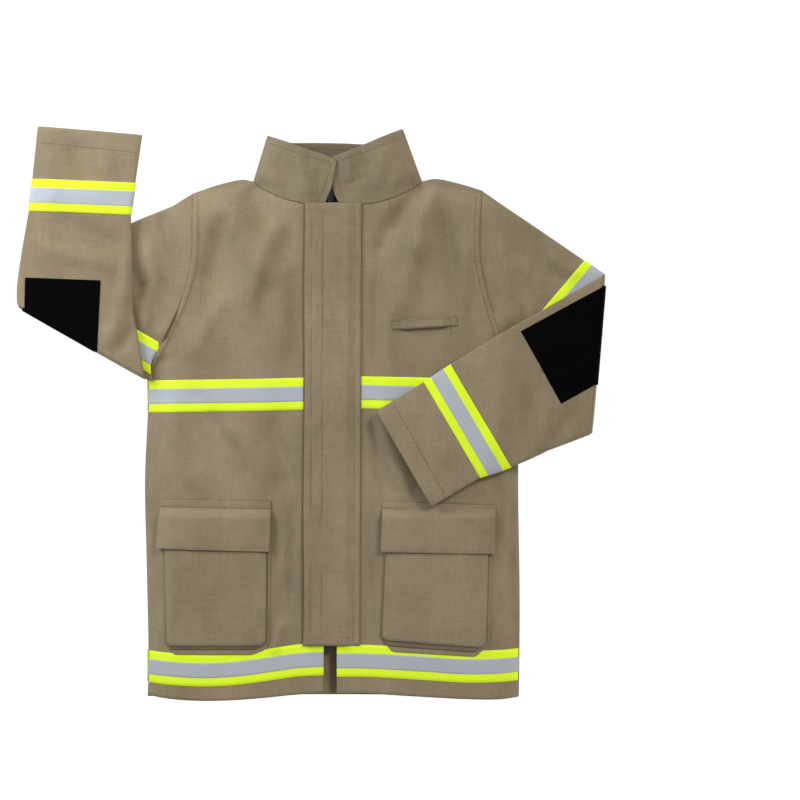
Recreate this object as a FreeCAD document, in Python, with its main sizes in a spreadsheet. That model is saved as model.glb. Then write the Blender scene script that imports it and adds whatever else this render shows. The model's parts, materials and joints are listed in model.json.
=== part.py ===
import FreeCAD, Part
import os
import Sketcher

# A short, padded protective coat lying flat on its back, closed, with both
# sleeves folded at the elbow.  All lengths are millimetres.
# +X is the wearer's left, +Y runs towards the collar, +Z is up off the table.
# The origin is on the underside of the back panel, on the centre line.

os.makedirs("parts", exist_ok=True)
doc = FreeCAD.newDocument("turnout_coat")

# ---------------------------------------------------------------- sizes

SIZES = [
    ("cloth", 2.0, "shell cloth, all layers quilted together"),
    ("tape_cloth", 0.8, "lime trim tape and zip tape"),
    ("stripe_cloth", 0.4, "reflective stripe on the lime tape"),
    ("hook_cloth", 1.2, "hook or loop fastening tape"),
    ("pocket_cloth", 1.6, "single cloth of the pockets"),
    ("run_gap", 0.05, "gap between two faces that part"),
    ("seam", 5.0, "width of a flat seam where two panels meet"),
    # body
    ("half_width", 208.8, "half of the body, flat"),
    ("hem_drop", 290.0, "hem below the origin"),
    ("body_rise", 16.0, "underside of the front cloth"),
    ("side_fall", 18.8, "width over which the front falls to the side seam"),
    ("top_shift", 5.5, "how far neck and shoulders lie to the left"),
    ("shoulder_x", 162.6, "shoulder point from the neck's centre"),
    ("shoulder_y", 274.0, "shoulder point"),
    ("neck_x", 94.5, "neck point from the neck's centre"),
    ("neck_y", 288.0, "neck point"),
    ("neck_drop", 27.5, "front neckline below the neck point"),
    ("yoke_depth", 40.0, "slope from the shoulder seam to the flat front"),
    ("underarm_y", 66.5, "bottom of the armhole"),
    ("right_edge", 10.0, "right front's edge, from the centre line"),
    ("left_edge", 5.0, "left front's edge, from the centre line"),
    # collar
    ("collar_corner_x", 76.0, "collar's top corner from the neck's centre"),
    ("collar_corner_y", 343.5, "collar's top corner"),
    ("collar_slope", 25.0, "slope from the collar's fold to its flat front"),
    ("collar_back_y", 331.0, "top edge of the collar's back"),
    ("collar_tip_y", 309.0, "top of the collar's front end"),
    # trim tape
    ("trim_width", 35.6, "lime tape"),
    ("stripe_width", 16.6, "reflective stripe along its middle"),
    ("chest_trim_y", 48.8, "middle of the chest tape"),
    ("hem_trim_y", 34.4, "middle of the hem tape, above the hem"),
    ("trim_inset", 32.0, "end of the chest tape beside the storm flap"),
    # zip
    ("zip_x", -2.0, "centre of the zip"),
    ("zip_low", 68.0, "lowest tooth, above the hem"),
    ("zip_high", 276.0, "highest tooth"),
    ("zip_tape_width", 11.0, "one side's tape"),
    ("zip_tape_high", 284.0, "top end of the zip tape"),
    ("teeth_width", 2.6, "one side's teeth"),
    ("teeth_height", 2.0, "thickness of the teeth"),
    ("post_gap", 0.8, "gap between the two rows of teeth"),
    ("post_thick", 0.5, "slider's post in that gap"),
    ("slider_width", 8.0, "slider"),
    ("slider_length", 11.0, "slider"),
    ("slider_low", 263.0, "slider's lower end, closed"),
    ("slider_plate", 1.4, "slider's top or bottom plate"),
    ("lug_width", 2.0, "lug that holds the pull tab"),
    ("lug_height", 2.0, "lug above the slider's top plate"),
    ("pull_length", 22.0, "pull tab"),
    ("pull_width", 6.0, "pull tab"),
    ("pull_thick", 1.0, "pull tab"),
    # storm flap
    ("flap_free_x", -30.8, "storm flap's free edge"),
    ("flap_hinge_x", 24.0, "line of stitches that the storm flap turns on"),
    ("flap_sewn_x", 31.9, "outer edge of the sewn strip"),
    ("flap_low", 58.2, "storm flap's lower end, above the hem"),
    ("flap_high", 263.0, "storm flap's upper end"),
    ("flap_ramp", 4.0, "width over which the flap climbs"),
    ("closure_x", -17.2, "middle of the fastening tape under the flap"),
    ("closure_width", 11.6, "fastening tape"),
    ("closure_low", 68.0, "fastening tape's lower end, above the hem"),
    ("closure_high", 251.0, "fastening tape's upper end"),
    # microphone loop
    ("loop_x", 105.6, "middle of the microphone loop, in from the side"),
    ("loop_y", 61.9, "middle of the microphone loop, above the armhole"),
    ("loop_length", 72.8, "microphone loop"),
    ("loop_width", 11.0, "webbing"),
    ("loop_thick", 1.2, "webbing"),
    ("loop_end", 10.0, "sewn end of the loop"),
    ("loop_rise", 6.0, "height of the loop off the front"),
    ("loop_turn", 3.6, "how far the loop is turned, in degrees"),
    # pockets
    ("right_pocket_x", 77.8, "middle of the right pocket, in from the side"),
    ("left_pocket_x", 91.3, "middle of the left pocket, in from the side"),
    ("bag_width", 116.0, "pocket bag"),
    ("bag_low", 53.0, "pocket's bottom, above the hem"),
    ("bag_mouth", 195.0, "pocket's open end, above the hem"),
    ("bag_depth", 5.0, "depth of the pocket's folded sides"),
    ("bag_corner", 8.0, "cut corner at the pocket's bottom"),
    ("pocket_flap_width", 126.5, "pocket flap"),
    ("pocket_flap_high", 219.0, "upper edge of the sewn strip, above the hem"),
    ("pocket_flap_hinge", 209.0, "stitches that the flap turns on, above the hem"),
    ("pocket_flap_low", 163.0, "flap's lower edge, above the hem"),
    ("pocket_flap_ramp", 12.0, "length over which the flap climbs"),
    ("pocket_tape_width", 70.0, "pocket's fastening tape"),
    ("pocket_tape_height", 16.0, "pocket's fastening tape"),
    ("pocket_tape_y", 176.0, "middle of its fastening tape, above the hem"),
    # sleeves
    ("sleeve_low", 1.2, "underside of the upper sleeve"),
    ("sleeve_height", 12.0, "flattened sleeve"),
    ("fold_gap", 2.6, "between the upper sleeve and the forearm"),
    ("crease_gap", 0.3, "forearm's end behind the line of the fold"),
    ("cuff_width", 118.0, "cuff, flat"),
    ("sleeve_clear", 1.05, "left forearm above the front where it meets it"),
    ("left_lift", 7.95, "further rise of the left forearm up to its cuff"),
    ("band_gap", 8.0, "from the fold to the tape on the upper right sleeve"),
    ("patch_cloth", 0.8, "elbow patch"),
]

sheet = doc.addObject("Spreadsheet::Sheet", "sz")
sheet.Label = "sizes"
for row, (alias, value, note) in enumerate(SIZES, start=1):
    sheet.set(f"A{row}", alias.replace("_", " "))
    sheet.set(f"B{row}", str(value))
    sheet.set(f"C{row}", note)
    sheet.setAlias(f"B{row}", alias)
doc.recompute()

nodes = []

# ---------------------------------------------------------------- helpers


def keep(item, label):
    """Name a finished sub-part and put it on the list to be written."""
    item.Label = label
    nodes.append(item)
    return item


def plus(*terms):
    """Write a sum of expressions."""
    return " + ".join(f"({term})" for term in terms)


def flip(points):
    """Mirror a list of points left to right."""
    return [(f"-({x})", y) for x, y in points]


def shifted(points, share="1"):
    """Move points sideways by a share of the neck's shift."""
    return [(f"{x} + sz.top_shift * {share}", y) for x, y in points]


def polygon(body, name, plane, loops, across="0", up="0", out="0", turn="0"):
    """Sketch closed polygons on one of the body's own planes.

    across, up and out move the sketch in the plane's own axes, and turn
    turns it about the plane's upright axis."""
    sketch = body.newObject("Sketcher::SketchObject", name)
    support = [item for item in body.Origin.OriginFeatures if item.Role == plane][0]
    sketch.AttachmentSupport = [(support, "")]
    sketch.MapMode = "FlatFace"
    sketch.AttachmentOffset = FreeCAD.Placement(
        FreeCAD.Vector(0, 0, 0), FreeCAD.Rotation(FreeCAD.Vector(0, 1, 0), 1)
    )
    sketch.setExpression("AttachmentOffset.Base.x", across)
    sketch.setExpression("AttachmentOffset.Base.y", up)
    sketch.setExpression("AttachmentOffset.Base.z", out)
    sketch.setExpression("AttachmentOffset.Rotation.Angle", turn)
    first = 0
    for size, points in enumerate(loops, start=1):
        count = len(points)
        spin = FreeCAD.Rotation(FreeCAD.Vector(0, 0, 1), 360 / count)
        corner = FreeCAD.Vector(100 * size, 0, 0)
        for number in range(count):
            after = spin.multVec(corner)
            sketch.addGeometry(Part.LineSegment(corner, after), False)
            corner = after
        for number, (x, y) in enumerate(points):
            this = first + number
            after = first + (number + 1) % count
            sketch.addConstraint(Sketcher.Constraint("Coincident", this, 2, after, 1))
        for number, (x, y) in enumerate(points):
            start = sketch.getPoint(first + number, 1)
            for kind, value, formula in (("DistanceX", start.x, x), ("DistanceY", start.y, y)):
                place = sketch.addConstraint(
                    Sketcher.Constraint(kind, -1, 1, first + number, 1, value)
                )
                sketch.setExpression(f"Constraints[{place}]", formula)
        first += count
    return sketch


def pad(body, sketch, length, middle=False):
    """Raise a sketch, from its plane or to both sides of it."""
    item = body.newObject("PartDesign::Pad", f"{sketch.Name}_pad")
    item.Profile = sketch
    item.Midplane = middle
    item.setExpression("Length", length)
    sketch.Visibility = False
    return item


def cut_through(body, sketch):
    """Cut a sketch through the body, both ways."""
    item = body.newObject("PartDesign::Pocket", f"{sketch.Name}_cut")
    item.Profile = sketch
    item.Type = "ThroughAll"
    item.Midplane = True
    sketch.Visibility = False
    return item


def plate(name, points, low, thick):
    """A flat piece of cloth, with its outline in plan."""
    body = doc.addObject("PartDesign::Body", name)
    sketch = polygon(body, f"{name}_outline", "XY_Plane", [points], out=low)
    pad(body, sketch, thick)
    return body


def box(name, x_low, x_high, y_low, y_high, z_low, height):
    """A plate with four square corners."""
    points = [(x_low, y_low), (x_high, y_low), (x_high, y_high), (x_low, y_high)]
    return plate(name, points, z_low, height)


def ribbon(name, points, plane, middle, length, **offset):
    """A strip with a constant section, drawn upright in one plane."""
    body = doc.addObject("PartDesign::Body", name)
    out = f"-({middle})" if plane == "XZ_Plane" else middle
    sketch = polygon(body, f"{name}_section", plane, [points], out=out, **offset)
    pad(body, sketch, length, middle=True)
    return body


FAR = [("-600", "-600"), ("600", "-600"), ("600", "600"), ("-600", "600")]


def trim_to(body, points):
    """Keep only what lies inside an outline in plan."""
    cut_through(body, polygon(body, f"{body.Name}_trim", "XY_Plane", [FAR, points]))


def draped(name, side, low, high, edge):
    """Section of cloth over one half of the front, from the side seam in.

    low and high are heights over the front's underside, and edge is where
    the section ends near the centre line."""
    floor = "sz.cloth"
    rise = "sz.body_rise"
    run = [
        ("sz.half_width", floor),
        ("sz.half_width - sz.seam", floor),
        ("sz.half_width - sz.side_fall", rise),
        (edge, rise),
    ]
    under = [(x, plus(z, low)) for x, z in run]
    over = [(x, plus(z, high)) for x, z in reversed(run)]
    points = under + over
    return points if side > 0 else flip(points)


# ---------------------------------------------------------------- outlines

# Half of each curve, for the wearer's left.  The upper points move with the
# shift of the neck, the lower ones don't.
SHOULDER = [("sz.shoulder_x", "sz.shoulder_y")]
ARMHOLE_HIGH = [("sz.shoulder_x", "sz.shoulder_y - 78")]
ARMHOLE_MID = [("sz.shoulder_x + 9", "sz.underarm_y + 91")]
ARMHOLE_LOW = [
    ("sz.half_width - 20", "sz.underarm_y + 45"),
    ("sz.half_width - 5.5", "sz.underarm_y + 18"),
    ("sz.half_width", "sz.underarm_y"),
]
NECK_POINT = [("sz.neck_x", "sz.neck_y")]
FRONT_NECK = [
    ("sz.neck_x * 0.87", "sz.neck_y - sz.neck_drop * 0.33"),
    ("sz.neck_x * 0.63", "sz.neck_y - sz.neck_drop * 0.71"),
    ("sz.neck_x * 0.37", "sz.neck_y - sz.neck_drop * 0.93"),
]
BACK_NECK = [("sz.neck_x * 0.68", "sz.neck_y - 7")]


def half(side, curve, share="1"):
    """One side's half of a curve, with its shift."""
    return shifted(curve if side > 0 else flip(curve), share)


def armhole_curve(side):
    """From the underarm up to the shoulder point, in order."""
    low = ARMHOLE_LOW if side > 0 else flip(ARMHOLE_LOW)
    points = [low[2], low[1], low[0]]
    points += half(side, ARMHOLE_MID, "0.5")
    points += half(side, ARMHOLE_HIGH)
    points += half(side, SHOULDER)
    return points


# ---------------------------------------------------------------- back

back_outline = [("-sz.half_width", "-sz.hem_drop"), ("sz.half_width", "-sz.hem_drop")]
back_outline += armhole_curve(1)
back_outline += half(1, NECK_POINT) + half(1, BACK_NECK)
back_outline += [("sz.top_shift", "sz.neck_y - 10")]
back_outline += half(-1, BACK_NECK) + half(-1, NECK_POINT)
back_outline += list(reversed(armhole_curve(-1)))
back = plate("back_cloth", back_outline, "0", "sz.cloth")

# The tapes on the back lie in shallow recesses, flush with the underside.
TRIMS = [("chest", "sz.chest_trim_y"), ("hem", "(sz.hem_trim_y - sz.hem_drop)")]
for place, middle in TRIMS:
    recess = polygon(
        back,
        f"{place}_recess",
        "XY_Plane",
        [
            [
                ("-sz.half_width - 5", f"{middle} - sz.trim_width / 2"),
                ("sz.half_width + 5", f"{middle} - sz.trim_width / 2"),
                ("sz.half_width + 5", f"{middle} + sz.trim_width / 2"),
                ("-sz.half_width - 5", f"{middle} + sz.trim_width / 2"),
            ]
        ],
    )
    item = back.newObject("PartDesign::Pocket", f"{place}_recess_cut")
    item.Profile = recess
    item.Reversed = True
    item.setExpression("Length", "sz.tape_cloth + sz.stripe_cloth")
    recess.Visibility = False
keep(back, "back_panel")

# ---------------------------------------------------------------- fronts

SEAM_RUN = "(sz.shoulder_x - sz.neck_x)"
SEAM_FALL = "(sz.neck_y - sz.shoulder_y)"


def yoke_line(x):
    """Height in plan of the line where the shoulder's slope ends."""
    return f"sz.neck_y - sz.yoke_depth + (sz.neck_x - ({x})) * {SEAM_FALL} / {SEAM_RUN}"


def front_panel(side, name, edge):
    """A front: the flat part and side slope, fused with the shoulder slope."""
    main = ribbon(
        f"{name}_main", draped(name, side, "0", "sz.cloth", edge), "XZ_Plane", "0", "1100"
    )
    inner = "sz.neck_x * 0.3"
    centre = [(edge, "sz.neck_y - sz.neck_drop")]
    centre = centre if side > 0 else flip(centre)
    meet = half(side, [(inner, yoke_line(inner))])
    outer = half(side, [("sz.shoulder_x", yoke_line("sz.shoulder_x"))])
    hem = [("sz.half_width", "-sz.hem_drop"), (edge, "-sz.hem_drop")]
    hem = hem if side > 0 else flip(hem)
    lower = armhole_curve(side)[:-1]
    outline = [hem[1], centre[0], meet[0], outer[0]] + list(reversed(lower)) + [hem[0]]
    trim_to(main, outline)

    slope = [
        ("0", "sz.cloth"),
        ("sz.seam", "sz.cloth"),
        ("sz.yoke_depth * 0.97", "sz.body_rise"),
        ("sz.yoke_depth * 2", "sz.body_rise"),
        ("sz.yoke_depth * 2", "sz.body_rise + sz.cloth"),
        ("sz.yoke_depth * 0.97", "sz.body_rise + sz.cloth"),
        ("sz.seam", "sz.cloth * 2"),
        ("0", "sz.cloth * 2"),
    ]
    fall = f"atan2({SEAM_FALL}; {SEAM_RUN})"
    turn = f"-90 deg - {fall}" if side > 0 else f"-90 deg + {fall}"
    body = doc.addObject("PartDesign::Body", f"{name}_yoke")
    point = half(side, NECK_POINT)[0]
    sketch = polygon(
        body,
        f"{name}_yoke_section",
        "XZ_Plane",
        [slope],
        across=point[0],
        out=f"-({point[1]})",
        turn=turn,
    )
    pad(body, sketch, "600", middle=True)
    neck = half(side, list(reversed(FRONT_NECK)))
    yoke = [outer[0], meet[0]] + neck + half(side, NECK_POINT) + half(side, SHOULDER)
    trim_to(body, yoke)

    whole = doc.addObject("Part::Fuse", f"{name}_whole")
    whole.Base = main
    whole.Tool = body
    return keep(whole, name)


front_panel(-1, "right_front_panel", "sz.right_edge")
front_panel(1, "left_front_panel", "sz.left_edge")

# ---------------------------------------------------------------- collar

back_collar = half(-1, NECK_POINT) + half(-1, BACK_NECK) + [("sz.top_shift", "sz.neck_y - 10")]
back_collar += half(1, BACK_NECK) + half(1, NECK_POINT)
corner = [("sz.collar_corner_x", "sz.collar_corner_y")]
back_collar += half(1, corner)
back_collar += half(1, [("sz.collar_corner_x * 0.45", "sz.collar_back_y")])
back_collar += half(-1, [("sz.collar_corner_x * 0.7", "sz.collar_back_y")])
back_collar += half(-1, corner)
keep(plate("collar_back_cloth", back_collar, "0", "sz.cloth"), "collar_back")


def collar_front(side, name, end):
    """One front half of the collar, falling to the fold at its side."""
    slope = [
        ("0", "sz.cloth"),
        ("sz.seam", "sz.cloth"),
        ("sz.seam + sz.collar_slope", "sz.body_rise"),
        ("150", "sz.body_rise"),
        ("150", "sz.body_rise + sz.cloth"),
        ("sz.seam + sz.collar_slope", "sz.body_rise + sz.cloth"),
        ("sz.seam", "sz.cloth * 2"),
        ("0", "sz.cloth * 2"),
    ]
    lean = "atan2(sz.neck_x - sz.collar_corner_x; sz.collar_corner_y - sz.neck_y)"
    turn = f"180 deg + {lean}" if side > 0 else f"-{lean}"
    body = doc.addObject("PartDesign::Body", f"{name}_cloth")
    point = half(side, NECK_POINT)[0]
    sketch = polygon(
        body,
        f"{name}_section",
        "XZ_Plane",
        [slope],
        across=point[0],
        out=f"-({point[1]})",
        turn=turn,
    )
    pad(body, sketch, "400", middle=True)
    outline = half(side, NECK_POINT) + half(side, FRONT_NECK)
    outline += end
    outline += half(side, [("sz.collar_corner_x * 0.76", "sz.collar_back_y + 1.5")])
    outline += half(side, corner)
    trim_to(body, outline)
    return keep(body, name)


collar_front(
    -1,
    "right_collar",
    [
        ("sz.zip_x - 6.5", "sz.neck_y - sz.neck_drop + 1"),
        ("sz.zip_x - 5", "sz.neck_y - 12"),
        ("sz.zip_x + 2", "sz.neck_y + 2"),
        ("sz.zip_x + 5.9", "sz.collar_tip_y"),
        ("sz.zip_x - 1.9", "sz.collar_tip_y + 5.7"),
    ],
)
collar_front(
    1,
    "left_collar",
    [
        ("sz.zip_x + 11.3", "sz.neck_y - sz.neck_drop + 2"),
        ("sz.zip_x + 7.6", "sz.neck_y - 4"),
        ("sz.zip_x + 6.5", "sz.collar_tip_y"),
        ("sz.zip_x + 0.5", "sz.collar_tip_y + 5.7"),
    ],
)

# ---------------------------------------------------------------- trim tapes

# The chest tape ends beside the storm flap; the hem tape runs to the edges.
INNER_ENDS = {
    ("chest", -1): "sz.trim_inset",
    ("chest", 1): "sz.trim_inset",
    ("hem", -1): "sz.right_edge",
    ("hem", 1): "sz.left_edge",
}
for place, middle in TRIMS:
    for side, name in ((-1, "right"), (1, "left")):
        layers = (
            ("trim", "sz.cloth", "sz.cloth + sz.tape_cloth", "sz.trim_width"),
            (
                "stripe",
                "sz.cloth + sz.tape_cloth",
                "sz.cloth + sz.tape_cloth + sz.stripe_cloth",
                "sz.stripe_width",
            ),
        )
        for layer, low, high, width in layers:
            label = f"{place}_{layer}_{name}"
            points = draped(label, side, low, high, INNER_ENDS[place, side])
            keep(ribbon(f"{label}_cloth", points, "XZ_Plane", middle, width), label)
    low = "0"
    for layer, thick, width in (
        ("stripe", "sz.stripe_cloth", "sz.stripe_width"),
        ("trim", "sz.tape_cloth", "sz.trim_width"),
    ):
        label = f"{place}_{layer}_back"
        item = box(
            f"{label}_cloth",
            "-sz.half_width",
            "sz.half_width",
            f"{middle} - {width} / 2",
            f"{middle} + {width} / 2",
            low,
            thick,
        )
        keep(item, label)
        low = thick

# ---------------------------------------------------------------- zip

# Everything on the zip is set from the underside of the front cloth.
for side, name in ((-1, "right"), (1, "left")):
    inner = f"sz.zip_x + {side} * (sz.post_gap / 2 + sz.teeth_width)"
    outer = f"{inner} + {side} * sz.zip_tape_width"
    ends = (outer, inner) if side < 0 else (inner, outer)
    item = box(
        f"{name}_zip_tape",
        *ends,
        "(sz.zip_low - sz.hem_drop) - 6",
        "sz.zip_tape_high",
        "sz.body_rise - sz.tape_cloth",
        "sz.tape_cloth",
    )
    keep(item, f"zip_tape_{name}")
    close = f"sz.zip_x + {side} * sz.post_gap / 2"
    ends = (inner, close) if side < 0 else (close, inner)
    low = "sz.body_rise - sz.tape_cloth / 2 - sz.teeth_height / 2"
    teeth = box(
        f"{name}_zip_teeth", *ends, "(sz.zip_low - sz.hem_drop)", "sz.zip_high", low, "sz.teeth_height"
    )
    keep(teeth, f"zip_teeth_{name}")
    stop = box(
        f"{name}_zip_stop", *ends, "sz.zip_high", "sz.zip_high + 2.5", low, "sz.teeth_height"
    )
    keep(stop, f"zip_stop_{name}")

retainer = box(
    "retainer",
    "sz.zip_x - sz.slider_width / 2",
    "sz.zip_x + sz.slider_width / 2",
    "(sz.zip_low - sz.hem_drop) - 6",
    "(sz.zip_low - sz.hem_drop)",
    "sz.body_rise - sz.tape_cloth - 1.6",
    "1.6",
)
keep(retainer, "zip_retainer_box")

TEETH_LOW = "sz.body_rise - sz.tape_cloth / 2 - sz.teeth_height / 2"
PLATE_LOW = f"{TEETH_LOW} + sz.teeth_height + 0.2"
PLATE_TOP = f"{PLATE_LOW} + sz.slider_plate"
slider = doc.addObject("PartDesign::Body", "slider")
side_view = [
    ("-sz.slider_width / 2", f"{TEETH_LOW} - 0.2 - sz.slider_plate"),
    ("sz.slider_width / 2", f"{TEETH_LOW} - 0.2 - sz.slider_plate"),
    ("sz.slider_width / 2", f"{TEETH_LOW} - 0.2"),
    ("sz.post_thick / 2", f"{TEETH_LOW} - 0.2"),
    ("sz.post_thick / 2", PLATE_LOW),
    ("sz.slider_width / 2", PLATE_LOW),
    ("sz.slider_width / 2", PLATE_TOP),
    ("-sz.slider_width / 2", PLATE_TOP),
    ("-sz.slider_width / 2", PLATE_LOW),
    ("-sz.post_thick / 2", PLATE_LOW),
    ("-sz.post_thick / 2", f"{TEETH_LOW} - 0.2"),
    ("-sz.slider_width / 2", f"{TEETH_LOW} - 0.2"),
]
sketch = polygon(
    slider,
    "slider_section",
    "XZ_Plane",
    [side_view],
    across="sz.zip_x",
    out="-(sz.slider_low + sz.slider_length / 2)",
)
pad(slider, sketch, "sz.slider_length", middle=True)
PIVOT_Y = "sz.slider_low + 3"
lug = [
    ("sz.zip_x - sz.lug_width / 2", f"{PIVOT_Y} - 1.5"),
    ("sz.zip_x + sz.lug_width / 2", f"{PIVOT_Y} - 1.5"),
    ("sz.zip_x + sz.lug_width / 2", f"{PIVOT_Y} + 1.5"),
    ("sz.zip_x - sz.lug_width / 2", f"{PIVOT_Y} + 1.5"),
]
pad(slider, polygon(slider, "lug_outline", "XY_Plane", [lug], out=PLATE_TOP), "sz.lug_height")
keep(slider, "zip_slider")

# The pull tab is a plate with two arms, one each side of the lug.
arm_in = "(sz.lug_width / 2 + 0.3)"
tab = [
    ("-sz.pull_width / 2", "-0.6"),
    (f"-{arm_in}", "-0.6"),
    (f"-{arm_in}", "2.2"),
    (arm_in, "2.2"),
    (arm_in, "-0.6"),
    ("sz.pull_width / 2", "-0.6"),
    ("sz.pull_width / 2", "sz.pull_length - 2"),
    ("sz.pull_width / 2 - 2", "sz.pull_length"),
    ("-sz.pull_width / 2 + 2", "sz.pull_length"),
    ("-sz.pull_width / 2", "sz.pull_length - 2"),
]
tab = [(f"{x} + sz.zip_x", f"{y} + {PIVOT_Y}") for x, y in tab]
PULL_LOW = f"{PLATE_TOP} + sz.lug_height / 2 - sz.pull_thick / 2"
keep(plate("pull", tab, PULL_LOW, "sz.pull_thick"), "zip_pull_tab")

# ---------------------------------------------------------------- storm flap

FRONT_TOP = "(sz.body_rise + sz.cloth)"
FLAP_LOW = f"({FRONT_TOP} + sz.hook_cloth * 2)"
section = [
    ("sz.flap_hinge_x", FRONT_TOP),
    ("sz.flap_hinge_x", f"{FRONT_TOP} + sz.cloth"),
    ("sz.flap_hinge_x - sz.flap_ramp", f"{FLAP_LOW} + sz.cloth"),
    ("sz.flap_free_x", f"{FLAP_LOW} + sz.cloth"),
    ("sz.flap_free_x", FLAP_LOW),
    ("sz.flap_hinge_x - sz.flap_ramp", FLAP_LOW),
]
FLAP_MIDDLE = "((sz.flap_low - sz.hem_drop) + sz.flap_high) / 2"
FLAP_LENGTH = "sz.flap_high - (sz.flap_low - sz.hem_drop)"
item = ribbon("storm_flap_cloth", section, "XZ_Plane", FLAP_MIDDLE, FLAP_LENGTH)
keep(item, "storm_flap")
item = box(
    "storm_strip",
    "sz.flap_hinge_x + sz.run_gap",
    "sz.flap_sewn_x",
    "(sz.flap_low - sz.hem_drop)",
    "sz.flap_high",
    FRONT_TOP,
    "sz.cloth",
)
keep(item, "storm_flap_strip")
CLOSURE = (
    "sz.closure_x - sz.closure_width / 2",
    "sz.closure_x + sz.closure_width / 2",
    "(sz.closure_low - sz.hem_drop)",
    "sz.closure_high",
)
item = box("front_loop", *CLOSURE, FRONT_TOP, "sz.hook_cloth - sz.run_gap")
keep(item, "front_loop_tape")
item = box("flap_hook", *CLOSURE, f"{FLAP_LOW} - sz.hook_cloth", "sz.hook_cloth")
keep(item, "flap_hook_tape")

# ---------------------------------------------------------------- microphone loop

reach = "sz.loop_length / 2"
foot = "sz.loop_length / 2 - sz.loop_end"
span = "sz.loop_length / 2 - sz.loop_end - 6"
section = [
    (f"-({reach})", FRONT_TOP),
    (f"-({foot})", FRONT_TOP),
    (f"-({span})", f"{FRONT_TOP} + sz.loop_rise"),
    (span, f"{FRONT_TOP} + sz.loop_rise"),
    (foot, FRONT_TOP),
    (reach, FRONT_TOP),
    (reach, f"{FRONT_TOP} + sz.loop_thick"),
    (f"{foot} + 0.5", f"{FRONT_TOP} + sz.loop_thick"),
    (f"{span} + 0.5", f"{FRONT_TOP} + sz.loop_rise + sz.loop_thick"),
    (f"-({span} + 0.5)", f"{FRONT_TOP} + sz.loop_rise + sz.loop_thick"),
    (f"-({foot} + 0.5)", f"{FRONT_TOP} + sz.loop_thick"),
    (f"-({reach})", f"{FRONT_TOP} + sz.loop_thick"),
]
item = ribbon(
    "mic_webbing",
    section,
    "XZ_Plane",
    "sz.underarm_y + sz.loop_y",
    "sz.loop_width",
    across="sz.half_width - sz.loop_x",
    turn="sz.loop_turn",
)
keep(item, "mic_loop")

# ---------------------------------------------------------------- pockets

BAG_TOP = f"({FRONT_TOP} + sz.bag_depth)"
POCKET_TOP = f"({BAG_TOP} + sz.pocket_cloth)"
HOOK_LOW = f"({POCKET_TOP} + sz.tape_cloth + sz.run_gap)"
POCKET_FLAP_LOW = f"({HOOK_LOW} + sz.tape_cloth)"


def bag_outline(middle, inset, top):
    """The pocket in plan, open end up, set in by an amount."""
    width = f"(sz.bag_width / 2 - {inset})"
    low = f"(sz.bag_low - sz.hem_drop) + {inset}"
    return [
        (f"{middle} - {width}", top),
        (f"{middle} - {width}", f"{low} + sz.bag_corner"),
        (f"{middle} - {width} + sz.bag_corner", low),
        (f"{middle} + {width} - sz.bag_corner", low),
        (f"{middle} + {width}", f"{low} + sz.bag_corner"),
        (f"{middle} + {width}", top),
    ]


def pocket(name, middle):
    """A bellows pocket: folded sides, front, hinged flap and its tapes."""
    wall = bag_outline(middle, "0", "(sz.bag_mouth - sz.hem_drop)")
    hollow = bag_outline(middle, "sz.pocket_cloth", "(sz.bag_mouth - sz.hem_drop)")
    sides = plate(f"{name}_sides", wall + list(reversed(hollow)), FRONT_TOP, "sz.bag_depth")
    keep(sides, f"{name}_pocket_gusset")
    face = plate(f"{name}_face", wall, BAG_TOP, "sz.pocket_cloth")
    keep(face, f"{name}_pocket_front")
    section = [
        ("(sz.pocket_flap_hinge - sz.hem_drop)", FRONT_TOP),
        ("(sz.pocket_flap_hinge - sz.hem_drop)", f"{FRONT_TOP} + sz.cloth"),
        ("(sz.pocket_flap_hinge - sz.hem_drop) - sz.pocket_flap_ramp", f"{POCKET_FLAP_LOW} + sz.cloth"),
        ("(sz.pocket_flap_low - sz.hem_drop)", f"{POCKET_FLAP_LOW} + sz.cloth"),
        ("(sz.pocket_flap_low - sz.hem_drop)", POCKET_FLAP_LOW),
        ("(sz.pocket_flap_hinge - sz.hem_drop) - sz.pocket_flap_ramp", POCKET_FLAP_LOW),
    ]
    item = ribbon(f"{name}_lid", section, "YZ_Plane", middle, "sz.pocket_flap_width")
    keep(item, f"{name}_pocket_flap")
    item = box(
        f"{name}_strip",
        f"{middle} - sz.pocket_flap_width / 2",
        f"{middle} + sz.pocket_flap_width / 2",
        "(sz.pocket_flap_hinge - sz.hem_drop) + sz.run_gap",
        "(sz.pocket_flap_high - sz.hem_drop)",
        FRONT_TOP,
        "sz.cloth",
    )
    keep(item, f"{name}_pocket_strip")
    area = (
        f"{middle} - sz.pocket_tape_width / 2",
        f"{middle} + sz.pocket_tape_width / 2",
        "(sz.pocket_tape_y - sz.hem_drop) - sz.pocket_tape_height / 2",
        "(sz.pocket_tape_y - sz.hem_drop) + sz.pocket_tape_height / 2",
    )
    item = box(f"{name}_loop", *area, POCKET_TOP, "sz.tape_cloth")
    keep(item, f"{name}_pocket_loop_tape")
    item = box(f"{name}_hook", *area, HOOK_LOW, "sz.tape_cloth")
    keep(item, f"{name}_pocket_hook_tape")


pocket("right", "(sz.right_pocket_x - sz.half_width)")
pocket("left", "(sz.half_width - sz.left_pocket_x)")

# ---------------------------------------------------------------- sleeves

FOREARM_LOW = "sz.sleeve_low + sz.sleeve_height + sz.fold_gap"



def beside(side, out, up):
    """A place out from the body's side, above the bottom of the armhole."""
    return (f"{side} * (sz.half_width + {out})", f"sz.underarm_y + {up}")


def by_shoulder(side, out, up):
    """A place out from the shoulder point, and above it."""
    return (f"{side} * (sz.shoulder_x + {out}) + sz.top_shift", f"sz.shoulder_y + {up}")


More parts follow.
